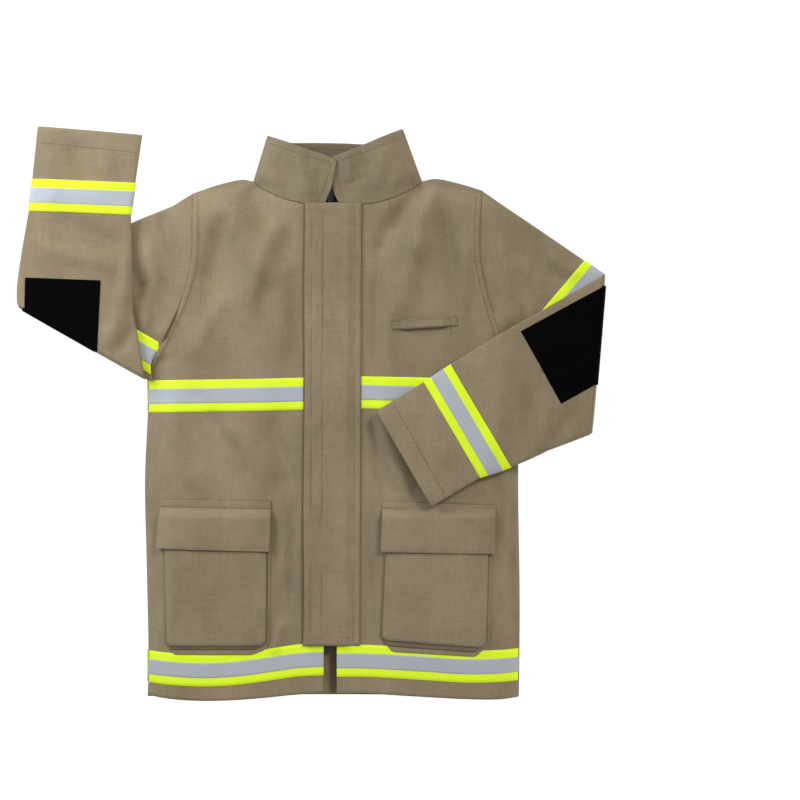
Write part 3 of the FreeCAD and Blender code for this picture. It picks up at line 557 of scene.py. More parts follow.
def ribbed_tape(name, colour, pitch, glow=0.0, gloss=0.75):
    """Woven tape with fine ribs across it."""
    shader = Shader(name, Specular_IOR_Level=0.3)
    turn = 2 * math.pi / (pitch * MM)
    weave = (shader.x * turn).sine() * (shader.y * turn).sine() * 0.5 + 0.5
    wash = shader.noise(40, 3)
    tone = shader.blend(weave * 0.6 + wash * 0.4, tint(colour, 0.86), tint(colour, 1.04))
    if glow:
        shader.glow(colour, glow)
    return shader.finish(tone, gloss + weave * 0.08, weave, relief=0.00012, strength=0.35)


TAN = (0.312, 0.238, 0.138)
LIME = (0.76, 0.99, 0.024)


def reflective_film():
    """Silver film of glass beads on cloth, with a faint net pressed in it."""
    colour = (0.47, 0.485, 0.52)
    shader = Shader("reflective film", Metallic=0.1, Specular_IOR_Level=0.3)
    turn = 2 * math.pi / (1.3 * MM)
    net = ((shader.x + shader.y) * turn).sine() * ((shader.x - shader.y) * turn).sine()
    beads = shader.noise(3200, 2)
    wash = shader.noise(16, 3)
    tone = shader.blend(beads * 0.5 + wash * 0.5, tint(colour, 0.9), tint(colour, 1.1))
    return shader.finish(tone, 0.55 + beads * 0.2, net * 0.3 + beads, relief=0.00008, strength=0.3)


def coated_patch():
    """Matt black coated cloth of the elbow patches."""
    shader = Shader("black patch cloth", Specular_IOR_Level=0.03)
    grain = shader.noise(1400, 3)
    fleck = shader.noise(90, 3)
    tone = shader.blend(grain * 0.6 + fleck * 0.4, (0.0007, 0.0007, 0.0008), (0.0024, 0.0024, 0.0026))
    return shader.finish(tone, 0.88 - grain * 0.1, grain, relief=0.0002, strength=0.4)


def moulded(name, colour, gloss, metal=0.0):
    """Moulded plastic or painted die casting."""
    shader = Shader(name, Metallic=metal)
    grain = shader.noise(1500, 3)
    wear = shader.noise(260, 4)
    tone = shader.blend(wear, tint(colour, 0.8), tint(colour, 1.5))
    return shader.finish(tone, gloss + grain * 0.15, grain, relief=0.00005, strength=0.2)


def napped(name, colour):
    """Hook or loop tape, with its nap."""
    shader = Shader(name, Specular_IOR_Level=0.2, Sheen_Weight=0.3)
    nap = shader.noise(1800, 4, 0.7)
    tone = shader.blend(nap, tint(colour, 0.6), tint(colour, 1.25))
    return shader.finish(tone, 0.95, nap, relief=0.0006, strength=0.8)


SHELL = twill("tan twill", TAN)
# Much darker twill for the rims of cloth pieces: painted shade along every edge.
EDGE_SHADE = twill("tan twill, turned edge", tint(TAN, 0.42))
# A darker copy of the shell twill for the collar halves: painted shade on the sloping collar.
COLLAR = twill("tan twill, collar", tint(TAN, 0.87))
# Wrong side of the twill, much darker than the right side: painted shade inside the collar and in the
# middle pleats of the pockets.
SHADED_WRONG_SIDE = twill("tan twill, wrong side", tint(TAN, 0.62), mottle=0.06)
WEBBING = twill("tan twill webbing", tint(TAN, 1.02), yarn=0.7)
# The lime tape gives off a little light of its own: a painted glow.
LIME_TAPE = ribbed_tape("lime tape", LIME, 0.9, glow=0.10)
SILVER = reflective_film()
PATCH = coated_patch()
ZIP_TAPE = ribbed_tape("black zip tape", (0.008, 0.008, 0.009), 0.6)
TEETH = moulded("black zip teeth", (0.012, 0.012, 0.013), 0.35)
CASTING = moulded("black painted casting", (0.02, 0.02, 0.022), 0.22, metal=0.4)
HOOKS = napped("tan hook tape", tint(TAN, 0.8))
LOOPS = napped("tan loop tape", tint(TAN, 0.9))
# Stitch thread drawn at half the tan's brightness: painted shade along the rows of stitches.
SHADED_THREAD = ribbed_tape("shaded thread", tint(TAN, 0.5), 0.5)


# ------------------------------------------------------------------ stitches


class Tree(Nodes):
    """A geometry node tree that puts parts along the lines of a mesh."""

    def __init__(self, name, inputs):
        super().__init__(bpy.data.node_groups.new(name, "GeometryNodeTree"))
        face = self.tree.interface
        face.new_socket("Geometry", in_out="INPUT", socket_type="NodeSocketGeometry")
        face.new_socket("Geometry", in_out="OUTPUT", socket_type="NodeSocketGeometry")
        for label, kind in inputs:
            face.new_socket(label, in_out="INPUT", socket_type=f"NodeSocket{kind}")
        self.given = self.tree.nodes.new("NodeGroupInput").outputs
        self.output = self.tree.nodes.new("NodeGroupOutput")

    def place(self, points, part, **rotation):
        """End the tree with a part on every point, as one plain mesh."""
        inputs = {"Points": points.outputs["Points"], "Instance": part.outputs[0], **rotation}
        placed = self.node("GeometryNodeInstanceOnPoints", {}, **inputs)
        real = self.node("GeometryNodeRealizeInstances", {}, placed.outputs[0])
        inputs = {"Geometry": real.outputs[0], "Material": self.given["Material"]}
        done = self.node("GeometryNodeSetMaterial", {}, **inputs)
        self.link(done.outputs[0], self.output.inputs[0])

    def apply(self, piece, **values):
        """Run the tree on a piece and keep the result as its plain mesh."""
        modifier = piece.modifiers.new("made", "NODES")
        modifier.node_group = self.tree
        for item in self.tree.interface.items_tree:
            key = item.name.replace(" ", "_")
            if item.in_out == "INPUT" and key in values:
                modifier[item.identifier] = values[key]
        bpy.context.view_layer.update()
        graph = bpy.context.evaluated_depsgraph_get()
        mesh = bpy.data.meshes.new_from_object(piece.evaluated_get(graph))
        piece.modifiers.clear()
        piece.data = mesh
        mesh.polygons.foreach_set("use_smooth", [True] * len(mesh.polygons))
        return piece


def points_along(name, inputs):
    """A tree that begins with points at an even pitch along every line of a mesh."""
    tree = Tree(name, [("Pitch", "Float"), *inputs, ("Material", "Material")])
    curve = tree.node("GeometryNodeMeshToCurve", {}, tree.given["Geometry"])
    line = {"Curve": curve.outputs[0], "Length": tree.given["Pitch"]}
    return tree, tree.node("GeometryNodeCurveToPoints", {"mode": "LENGTH"}, **line)


def stitch_tree():
    """Lockstitches at an even pitch, each leaning a little its own way."""
    tree, points = points_along("stitches", [("Length", "Float"), ("Thread", "Float")])
    ball = tree.node("GeometryNodeMeshUVSphere", {}, Segments=6, Rings=4, Radius=0.5)
    sides = [tree.given[label] for label in ("Length", "Thread", "Thread")]
    sizes = tree.node("ShaderNodeCombineXYZ", {}, *sides)
    bead = tree.node("GeometryNodeTransform", {}, Geometry=ball.outputs[0], Scale=sizes.outputs[0])
    most = (0.05, 0.05, 0.05)
    random = {"data_type": "FLOAT_VECTOR"}
    jitter = tree.node("FunctionNodeRandomValue", random, (-0.05, -0.05, -0.05), most, Seed=11)
    inputs = points.outputs["Tangent"], jitter.outputs[0]
    lean = tree.node("ShaderNodeVectorMath", {"operation": "ADD"}, *inputs)
    turn = tree.node("FunctionNodeAlignRotationToVector", {"axis": "X"}, Vector=lean.outputs[0])
    tree.place(points, bead, Rotation=turn.outputs[0])
    return tree


STITCHES = stitch_tree()
ROW_STEP = 3.0
stitch_rows = {}


def stitch(body, line):
    """Remember a row of stitches, to be made with its body's others."""
    stitch_rows.setdefault(body, []).append(np.asarray(line, float))


def stitch_over(line):
    """A row of the coat's stitches just over a line of its cloth."""
    stitch("coat", even(line + (0, 0, 0.15), ROW_STEP))


def line_piece(name, lines, material):
    """Lines as a mesh of edges, for a node tree to follow."""
    corners, edges = [], []
    for line in lines:
        first = len(corners)
        corners += [tuple(c) for c in line * MM]
        edges += [(first + k, first + k + 1) for k in range(len(line) - 1)]
    mesh = bpy.data.meshes.new(name)
    mesh.from_pydata(corners, edges, [])
    mesh.materials.append(material)
    piece = bpy.data.objects.new(name, mesh)
    objects.link(piece)
    return piece


def sew():
    """Make all the rows of stitches, one piece for each body."""
    size = {"Pitch": 3.1 * MM, "Length": 2.5 * MM, "Thread": 0.55 * MM}
    for body, lines in stitch_rows.items():
        piece = line_piece(f"{body}_stitches_shaded_thread", lines, SHADED_THREAD)
        STITCHES.apply(piece, Material=SHADED_THREAD, **size)
        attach(piece, body)


def at_level(line, level):
    """A line in plan at one height, or at one for each point."""
    return np.column_stack([line, np.zeros(len(line)) + level])


def on_front(line, lift):
    """A line in plan laid on the front cloth."""
    line = np.asarray(line, float)
    return at_level(line, front_height(*line.T) + lift)


# ------------------------------------------------------------------ body


def declare(piece, body, slot, *nodes):
    """Attach a piece to the body it moves with and hide the parts of the frame that it stands for; the
    slot naming its finish is not used.
    """
    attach(piece, body)
    if nodes:
        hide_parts(*nodes)
    return piece


def cloth(name, grid, thick, material, body, slot, *nodes, **form):
    """A shell of cloth that moves with one body."""
    piece = shell(name, grid, thick, material, **form)
    return declare(piece, body, slot, *nodes)


def cut_sheet(grid, ring=False):
    """Work out the diagonals of each cell of a panel's or a sleeve's grid; nothing is kept from them."""
    if ring:
        grid = np.concatenate([grid, grid[:, :1]], axis=1)
    a, b = grid[1:, 1:] - grid[:-1, :-1], grid[1:, :-1] - grid[:-1, 1:]


def back_piece():
    """The back, from the hem to the shoulders and neck."""
    left, right = join(body_side(-1), armhole(-1)), join(body_side(1), armhole(1))
    bottom = smooth_line([left[0], (0, HEM + 2), right[0]])
    neck = side_of(1, [(NECK_HALF * out, NECK_Y - drop, 1) for out, drop in BACK_NECK])
    top = join(shoulder_seam(-1), smooth_line(neck), shoulder_seam(1)[::-1])
    grid = patch(bottom, top, left, right, 120, 170)
    x, y = grid[..., 0], grid[..., 1]
    edge = np.minimum(HALF_WIDTH - np.abs(x), y - HEM)
    lift = CLOTH + 0.5 * (1 + lumps(x, y, 60, 21)) * ease(0, 40, edge)
    sheet = rise_on(grid, lift)
    piece = cloth("back_cloth", sheet, CLOTH - 0.4, SHELL, "coat", "shell", "back_panel")
    cut_sheet(sheet)


def front_piece(side, edge, node):
    """One front, from the hem to the shoulder and neck."""
    outside = join(body_side(side), armhole(side))
    outside[0, 1] = HEMS[side][0 if side < 0 else -1][1]
    hem = smooth_line(HEMS[side])[:: -side]
    hem[0] = outside[0]
    inside = smooth_line([hem[-1], (edge, -200), (edge, NECK_Y - NECK_DROP)])
    top = join(shoulder_seam(side), neckline(side, edge))
    if side < 0:
        grid = patch(hem, top, outside, inside, 72, 180)
    else:
        grid = patch(hem[::-1], top[::-1], inside, outside, 72, 180)
    sheet = rise_on(grid, front_height(grid[..., 0], grid[..., 1]))
    piece = cloth(f"{node}_cloth", sheet, CLOTH, SHELL, "coat", "shell", node)
    cut_sheet(sheet)


RIGHT_EDGE = span("right_front_panel")[1][0]
LEFT_EDGE = span("left_front_panel")[0][0]
SEAM_INSET = 6.0
back_piece()
front_piece(-1, RIGHT_EDGE, "right_front_panel")
front_piece(1, LEFT_EDGE, "left_front_panel")
for side in (-1, 1):
    stitch("coat", on_front(armhole(side)[3:-2] + (-side * SEAM_INSET, 0), 0.1))


# ------------------------------------------------------------------ trim tapes


def front_tape(place, layer, side, width, lift, thick, material, slot):
    """A tape across one front, following the cloth under it."""
    node = f"{place}_{layer}_{'left' if side > 0 else 'right'}"
    low, high = span(node)
    outer = body_side(side)
    inner = low[0] if side > 0 else high[0]
    share = np.linspace(0, 1, 100)
    offsets = np.linspace(-width / 2, width / 2, 10)
    rows = []
    for offset in offsets:
        level = level_of(TAPE_LINES[place, side], side * HALF_WIDTH) + offset
        far = np.interp(level, outer[:, 1], outer[:, 0])
        x = far - side * (0.9 if layer == "trim" else 0.1)
        x = x + (inner - x) * share
        y = level_of(TAPE_LINES[place, side], x) + offset
        rows.append(np.column_stack([x, y, front_height(x, y) + lift]))
    cloth(f"{node}_cloth", np.array(rows), thick, material, "coat", slot, node)


def back_tape(place, layer, material, slot):
    """A tape across the back, flush with its underside."""
    node = f"{place}_{layer}_back"
    low, high = span(node)
    x = np.linspace(low[0], high[0], 80)
    y = np.linspace(low[1], high[1], 6)
    grid = np.stack(np.broadcast_arrays(x[None, :], y[:, None]), axis=2)
    level = 0.45 if layer == "stripe" else 0.55
    sheet = rise_on(grid, np.full(grid.shape[:2], level))
    thick = level - (0.05 if layer == "stripe" else 0.2)
    cloth(f"{node}_cloth", sheet, thick, material, "coat", slot, node)


TAPES = (
    ("trim", TRIM_WIDTH, 0.55, 0.5, LIME_TAPE, "lime_tape"),
    ("stripe", STRIPE_WIDTH, 0.85, 0.35, SILVER, "reflective_stripe"),
)
for place in ("chest", "hem"):
    for layer, width, lift, thick, material, slot in TAPES:
        for side in (-1, 1):
            front_tape(place, layer, side, width, lift, thick, material, slot)
        back_tape(place, layer, material, slot)


# ------------------------------------------------------------------ storm flap


def storm_flap():
    """The flap over the zip, sewn down beside it and free on the other edge."""
    low_x, high_x = FLAP_LOW[0], STRIP_HIGH[0]
    hinge, top = FLAP_HIGH[0], FLAP_HIGH[2]
    y = np.linspace(FLAP_LOW[1], FLAP_HIGH[1], 170)
    x = np.linspace(low_x, high_x, 26)
    shift = np.interp(y, (y[0], y[-1]), (-1.6, 0.4))
    gx = x[None, :] + shift[:, None] + 0.4 * np.sin(y / 37)[:, None] * (x[None, :] < 0)
    gy = np.broadcast_to(y[:, None], gx.shape) + 0.0
    down = ease(hinge - 7, hinge - 0.5, x)[None, :] * (top - FRONT_TOP - CLOTH)
    ripple = 0.7 * lumps(gx * 2.2, gy, 46, 31) + 0.45 * lumps(gx, gy * 1.6, 21, 33)
    ripple = ripple - 0.6 * bump(gy - 0.06 * gx, y[-1] - 26, 2.2)
    # Over the zip the flap only rises, so that the slider runs clear of it.
    over_zip = np.exp(-(((gx - ZIP_MIDDLE) / 13) ** 4))
    ripple = ripple + over_zip * (np.abs(ripple) - ripple)
    seams = (low_x + 7.5, low_x + 19.7)
    quilt = -0.45 * (bump(gx, seams[0], 1.6) + bump(gx, seams[1], 1.6))
    grid = np.stack([gx, gy, top - down + (ripple + quilt) * ease(high_x, hinge - 8, gx)], axis=2)
    piece = shell("storm_flap_cloth", grid, CLOTH, SHELL)
    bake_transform(piece)
    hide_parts("storm_flap", "storm_flap_strip")
    cut_sheet(grid)
    rows = [np.column_stack([place + shift, y])[6:-6] for place in seams]
    box_top = y[-1] - 10.7
    rows += [
        [(low_x + 3, y[0] + 8.9), (hinge - 5, y[0] + 8.9)],
        [(low_x + 16, box_top), (low_x + 28, box_top)],
        [(low_x + 21.5, box_top), (low_x + 21.5, y[-1] - 34)],
    ]
    for line in rows:
        stitch("storm_flap", at_level(even(line, ROW_STEP), top - 0.1))
    line = np.column_stack([hinge + 0.6 + shift, y])[2:-2]
    stitch("coat", at_level(line, FRONT_TOP + CLOTH + 0.1))


storm_flap()


def fastening(node, body, material, slot):
    """Hook or loop tape with rounded edges and its woven border."""
    low, high = span(node)
    x = np.linspace(low[0], high[0], 9)
    y = np.linspace(low[1], high[1], max(8, int((high[1] - low[1]) / 4)))
    gx, gy = np.meshgrid(x, y)
    edge = np.abs((gx - gx.mean()) / (gx.max() - gx.mean())) ** 6
    z = high[2] - 0.35 * edge + 0.12 * lumps(gx * 9, gy * 9, 9, 41)
    grid = np.stack([gx, gy, z], axis=2)
    cloth(f"{node}_nap", grid, high[2] - low[2] - 0.1, material, body, slot, node)


fastening("front_loop_tape", "coat", LOOPS, "loop_tape")
fastening("flap_hook_tape", "storm_flap", HOOKS, "hook_tape")


# ------------------------------------------------------------------ collar


def collar_side(side, end_line, crest_line, lift):
    """A front half of the collar, rolling down to the fold at its side."""
    node = "left_collar" if side > 0 else "right_collar"
    corner = CORNERS[side]
    neck = side_of(side, [(NECK_HALF * a, NECK_Y - NECK_DROP * b, 1) for a, b in FRONT_NECK[:-1]])
    base = smooth_line(np.vstack([neck, end_line[:1]]), 3.0)
    fold = smooth_line([neck[0], (neck[0] + corner) / 2, corner], 3.0)
    crest = smooth_line([corner, *crest_line, end_line[-1]], 3.0)
    end = smooth_line(end_line, 3.0)
    if side < 0:
        grid = patch(base, crest, fold, end, 60, 40)
    else:
        grid = patch(base[::-1], crest[::-1], end, fold, 60, 40)
    x, y = grid[..., 0], grid[..., 1]
    t = np.clip((y - neck[0][1]) / (corner[1] - neck[0][1]), -1, 1.2)
    inward = np.abs(x - neck[0][0] - (corner[0] - neck[0][0]) * t)
    roll = 1 - np.clip(1 - inward / 34, 0, 1) ** 2.2
    ripple = 1.2 * lumps(x, y, 34, 51 + side) + 0.6 * lumps(x, y, 15, 53)
    ripple = ripple + folds(x, y, COLLAR_FOLDS)
    tip = end_line[-1]
    lift = lift + 2.2 * (side < 0) * bump(x, tip[0], 20) * bump(y, tip[1] - 12, 26)
    level = CLOTH * 1.8 + (FRONT_TOP + 1.2 + lift - CLOTH * 1.8 + ripple) * roll
    seam = front_height(x[0], y[0]) + 1.0
    share = np.linspace(0, 1, grid.shape[0])[:, None]
    level = seam + (level - seam) * ease(0, 0.3, share)
    rows = np.arange(grid.shape[0])[:, None]
    columns = np.arange(grid.shape[1])[None, :]
    beside_end = columns if side > 0 else grid.shape[1] - 1 - columns
    dent = bump(rows, grid.shape[0] - 6, 1.1)
    dent = np.maximum(dent, bump(beside_end, 5, 1.1))
    sheet = rise_on(grid, level - 0.4 * dent)
    # The collar's cloth is the darker copy of the twill: painted shade.
    piece = cloth(f"{node}_cloth", sheet, 1.8, COLLAR, "coat", "shell", node)
    cut_sheet(sheet)
    stitch_over(sheet[-6][5:-5])
    column = 5 if side > 0 else grid.shape[1] - 6
    stitch_over(sheet[4:-6, column])


COLLAR_FOLDS = [
    (-62, 318, -50, 272, 9, -1.8), (-38, 322, -28, 268, 8, 1.8), (-16, 300, -12, 264, 6, -1.4),
    (34, 312, 20, 266, 8, -1.6), (62, 330, 46, 278, 9, 1.8), (14, 282, 40, 294, 4, -1.2),
]


def collar_back():
    """The standing back of the collar, seen from inside over the front, in darker twill: painted shade
    inside the collar.
    """
    left = np.array([(NECK_MIDDLE - NECK_HALF, NECK_Y), CORNERS[-1] - (0, 1)])
    right = np.array([(NECK_MIDDLE + NECK_HALF, NECK_Y), CORNERS[1] - (0, 1)])
    seam = [(NECK_MIDDLE - 64, NECK_Y - 7), (NECK_MIDDLE, NECK_Y - 10), (NECK_MIDDLE + 64, NECK_Y - 7)]
    base = smooth_line([left[0], *seam, right[0]])
    crest = [(-54, 331.6), (-20, 331), (12, 330.4), (38, 329.6), (58, 334)]
    crest = smooth_line([left[1], *crest, right[1]])
    grid = patch(base, crest, smooth_line(left), smooth_line(right), 70, 26)
    x, y = grid[..., 0], grid[..., 1]
    middle = 1 - np.abs((x - NECK_MIDDLE) / 95) ** 3
    rise = ease(NECK_Y, COLLAR_TOP - 10, y) * 3.5 * np.clip(middle, 0, 1)
    sheet = rise_on(grid, CLOTH + 0.2 + rise + 0.3 * lumps(x, y, 30, 57))
    cloth("collar_back_cloth", sheet, CLOTH - 0.2, SHADED_WRONG_SIDE, "coat", "shell", "collar_back")
    stitch_over(sheet[-4][3:-3])


END_RIGHT = np.array([(-8.3, 261.8), (-5.6, 270), (-1.2, 280), (2.6, 297), (4.4, 309)])
END_LEFT = np.array([(7.6, 263.0), (3.4, 271), (-0.8, 283), (-2.6, 298), (-1.2, 314.4)])
CORNERS = {-1: np.array([-73.6, 339.4]), 1: np.array([78.8, 347.0])}
collar_side(-1, END_RIGHT, [(-55.4, 332.6), (-28, 323), (-3.9, 314.9)], 0.9)
collar_side(1, END_LEFT, [(58, 338), (37, 329), (16, 320.6)], -0.4)
collar_back()


# ------------------------------------------------------------------ sleeves


def turned(degrees):
    angle = math.radians(degrees)
    return np.array([math.cos(angle), math.sin(angle)])


def between(top, low):
    """Middle, width and direction of the section between two places."""
    run = np.subtract(low, top)
    middle = np.add(top, low) / 2
    return (*middle, float(np.hypot(*run)), math.degrees(math.atan2(run[1], run[0])))


# Each section of a flattened sleeve: share of the way along, middle in plan,
# width, the way it runs, underside and height.
ARM = 12.0
FOREARM = 15.8
RIGHT_CREASE = (-280.9, 106.2, 164.6, -29.7)
LEFT_CREASE = (297.9, 94.1, 179.8, -94.7)
ARMS = {
    "right_upper": [
        (0.0, *between((-157.4, 274.5), (-208.8, 66.5)), 1.2, 15.5),
        (0.18, *between((-187.6, 255.7), (-206.0, 67.5)), 1.2, 14.0),
        (1.0, *RIGHT_CREASE, 1.2, ARM),
    ],
    "left_upper": [
        (0.0, *between((168.1, 277.5), (208.8, 66.5)), 1.2, 15.5),
        (0.18, *between((196.3, 258.0), (209.5, 64.0)), 1.2, 14.0),
        (1.0, *LEFT_CREASE, 1.2, ARM),
    ],
    "right_forearm": [
        (0.0, *RIGHT_CREASE, FOREARM, ARM),
        (0.26, -287.3, 159.5, 134.7, -15.9, FOREARM, ARM),
        (0.62, -282.1, 252.6, 114.7, -2.3, FOREARM, ARM),
        (1.0, -270.8, 342.9, 118.0, -4.8, FOREARM, ARM),
    ],
    "left_forearm": [
        (0.0, *LEFT_CREASE, FOREARM, ARM),
        (0.28, 239.4, 65.5, 160.2, -89.6, FOREARM + 3.3, ARM),
        (0.72, 139.5, 12.9, 125.2, -64.6, FOREARM + 8.2, ARM),
        (1.0, 80.0, -23.0, 124.0, -60.0, FOREARM + 11.2, ARM),
    ],
}
SLEEVE_FOLDS = {
    "right_upper": [
        (-212, 222, -180, 122, 10, 4.2), (-226, 176, -176, 150, 8, -5.0),
        (-220, 140, -186, 112, 8, 4.4), (-194, 252, -172, 196, 8, -3.0),
        (-183, 160, -203, 118, 8, -3.6), (-205, 112, -190, 92, 8, -0.9),
    ],
    "left_upper": [
        (205, 238, 258, 168, 12, -3.6), (186, 226, 204, 150, 9, 3.6),
        (176, 150, 226, 166, 8, -4.6), (186, 128, 228, 146, 7, 3.6),
        (192, 182, 224, 196, 5, 2.2), (240, 205, 276, 180, 9, 2.4),
    ],
    "right_forearm": [
        (-335, 214, -236, 190, 10, 2.2), (-308, 246, -240, 214, 10, -2.4),
        (-232, 150, -227, 205, 8, 3.2), (-254, 96, -232, 150, 9, 2.8),
        (-244, 84, -222, 122, 6, -2.8), (-318, 318, -310, 262, 9, 1.6),
        (-286, 330, -280, 284, 9, -1.8), (-252, 345, -246, 296, 9, 1.6),
        (-340, 250, -330, 205, 9, -1.6),
    ],
    "left_forearm": [
        (192, 100, 178, -25, 12, 2.8), (216, 78, 222, -15, 9, -3.0),
        (240, 40, 228, -12, 9, 2.2), (266, 30, 246, -6, 8, -3.2),
        (252, 118, 205, 50, 10, 1.8), (112, 40, 128, -30, 9, 1.8),
        (92, 22, 102, -40, 8, -1.8), (150, 78, 176, 84, 10, 1.4),
    ],
}
AROUND = 72
FOLD_INSET = 2.5
SECTION_MARGIN = 0.4
SLEEVE_CLOTH = 1.6
CREASE_LEVEL = 14.5
# Round a flattened section, from its top edge over its upper face to its
# lower edge, and back underneath.
TURN = math.pi - np.linspace(0, 2 * math.pi, AROUND, endpoint=False)
ACROSS = np.sign(np.cos(TURN)) * np.abs(np.cos(TURN)) ** 0.62
CROWN = np.sign(np.sin(TURN)) * np.abs(np.sin(TURN)) ** 0.55
UPPER_FACE = np.clip(np.sin(TURN), 0, 1) ** 0.5
TOP_COLUMNS = slice(1, AROUND // 2)


class Sleeve:
    """One length of a flattened sleeve, as a fine grid to cut pieces from."""

    def __init__(self, key, grow=0.0, rows=190):
        sections = np.array(ARMS[key])
        self.side = -1 if key.startswith("right") else 1
        self.shares = np.linspace(0, 1, rows)
        place = [np.interp(self.shares, sections[:, 0], sections[:, k]) for k in range(1, 7)]
        x, y, width, angle, low, height = (value[:, None] for value in place)
        reach = ACROSS * (width / 2 - SECTION_MARGIN + grow)
        cos, sin = np.cos(np.radians(angle)), np.sin(np.radians(angle))
        level = low + height / 2 + CROWN * (height / 2 + grow)
        grid = np.stack([x + cos * reach, y + sin * reach, level], axis=2)
        if key.endswith("upper"):
            grid = self.from_armhole(grid, grow)
        crease = RIGHT_CREASE if self.side < 0 else LEFT_CREASE
        calm = ease(3, 26, np.abs(self.distance(grid, crease[:2], crease[3])))
        # Every layer takes the folds of the cloth under it.
        under = -grow * ACROSS
        x = grid[..., 0] + under * cos
        y = grid[..., 1] + under * sin
        wave = 1.1 * lumps(x, y, 46, 61) + 0.5 * lumps(x, y, 21, 63)
        grid[..., 2] += (wave + folds(x, y, SLEEVE_FOLDS[key], 1.7)) * UPPER_FACE * calm * 0.9
        self.grid = grid

    def from_armhole(self, grid, grow):
        """Start the sleeve on the armhole's own curve."""
        line = even(armhole(self.side)[::-1], count=200)
        steps = np.linspace(0, 1, len(line))
        x, y = (np.interp((1 + ACROSS) / 2, steps, values) for values in line.T)
        top = front_height(x, y) - 0.5
        z = 1.2 + (top - 1.2) * (0.5 + 0.5 * CROWN) + grow * CROWN
        first = np.stack([x, y, z], axis=1)
        share = np.sin(math.pi / 2 * np.clip(self.shares / 0.35, 0, 1))[:, None, None]
        return (1 - share) * first + share * grid

    def distance(self, grid, point, angle):
        """How far each point lies to the left of a line in plan."""
        normal = turned(angle + 90)
        return (grid[..., 0] - point[0]) * normal[0] + (grid[..., 1] - point[1]) * normal[1]

    def share_at(self, point, angle, offset):
        """Where each lengthwise line of the sleeve crosses a line in plan."""
        far = self.distance(self.grid, point, angle) - offset
        found = []
        for column in far.T:
            order = slice(None) if column[-1] > column[0] else slice(None, None, -1)
            found.append(np.interp(0, column[order], self.shares[order]))
        return np.array(found)

    def at(self, shares):
        """The sleeve's points at a share of the way along each line."""
        place = np.clip(shares, 0, 1) * (len(self.shares) - 1)
        low = np.minimum(place.astype(int), len(self.shares) - 2)
        part = (place - low)[..., None]
        column = np.broadcast_to(np.arange(AROUND), low.shape)
        return self.grid[low, column] * (1 - part) + self.grid[low + 1, column] * part

    def length(self, start, stop, count):
        """The cloth between two shares, given for each line."""
        steps = np.linspace(0, 1, count)[:, None]
        return self.at(start + (stop - start) * steps)

    def band(self, point, angle, offsets):
        """Rings of the sleeve along lines beside one another."""
        return self.at(np.array([self.share_at(point, angle, offset) for offset in offsets]))

    def top(self, plan):
        """Height of the sleeve's upper face over places in plan."""
        face = self.grid[:, TOP_COLUMNS].reshape(-1, 3)
        heights = []
        for place in np.asarray(plan).reshape(-1, 2):
            gap = ((face[:, :2] - place) ** 2).sum(axis=1)
            near = np.argpartition(gap, 6)[:6]
            weight = 1 / (gap[near] + 0.05)
            heights.append((face[near, 2] * weight).sum() / weight.sum())
        return np.array(heights).reshape(np.asarray(plan).shape[:-1])


def elbow_grid(crease, side, first, last, rows, ends=(-1, 1), grow=0.0, outer_only=False):
    """Cloth round the fold of an elbow, turning about the crease."""
    x, y, width, angle = crease
    along, out = turned(angle), turned(angle + side * 90)
    crown, across = -CROWN, ACROSS
    if outer_only:
        across = np.linspace(ends[0], ends[1], 24)
        crown = np.ones(24)
    reach = across * (width / 2 - SECTION_MARGIN)
    share = 0.5 + 0.5 * crown
    grid = []
    for turn in np.radians(np.linspace(first, last, rows)):
        level = 0.6 + 2.9 * share + grow
        rise = 1.3 + 12 * share + grow
        far = (level * math.cos(turn) - FOLD_INSET)[:, None]
        plan = np.array([x, y]) + along * reach[:, None] + out * far
        grid.append(np.column_stack([plan, CREASE_LEVEL + rise * math.sin(turn)]))
    return np.array(grid)


def bend_elbow(piece):
    """Bake a piece's placement into its mesh."""
    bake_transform(piece)


CREASES = {"right": RIGHT_CREASE, "left": LEFT_CREASE}
UPPER_BANDS = {
    "right": (RIGHT_CREASE[:2], RIGHT_CREASE[3], 8.0 + TRIM_WIDTH / 2),
    "left": ((260.4, 173.0), -130.4, TRIM_WIDTH / 2),
}
CUFF_BANDS = {"right": ((-280.3, 269.4), -2.2, 0.0), "left": ((149.8, 16.5), -59.5, 0.0)}
CUFF_STITCHES = {
    "right": [(-329.2, 330.4), (-214.5, 318.3)],
    "left": [(66.6, 41.4), (127.1, -66.0)],
}
PATCHES = {
    "right": [(-342.6, 179), (-258.4, 175.8), (-262.4, 96.0), (-343.5, 141.0)],
    "left": [(210.4, 119.2), (301.4, 168.6), (292.9, 59.6), (255.4, 38.6)],
}
PATCH_FOLDS = {"right": (-0.92, 0.215), "left": (-0.85, 0.385)}


def sleeve_band(key, side_name, sleeve_body, spec):
    """Lime tape round a sleeve, with its reflective stripe."""
    point, angle, middle = spec
    kind = "upper" if key.endswith("upper") else "cuff"
    for layer, grow, width, thick, material, slot in (
        ("band", 0.7, TRIM_WIDTH, 0.6, LIME_TAPE, "lime_tape"),
        ("stripe", 1.0, STRIPE_WIDTH, 0.35, SILVER, "reflective_stripe"),
    ):
        sleeve = Sleeve(key, grow)
        offsets = middle + np.linspace(-width / 2, width / 2, 14)
        grid = sleeve.band(point, angle, offsets)
        node = f"{side_name}_{kind}_{layer}"
        cloth(f"{node}_cloth", grid, thick, material, sleeve_body, slot, node, wrap=True)


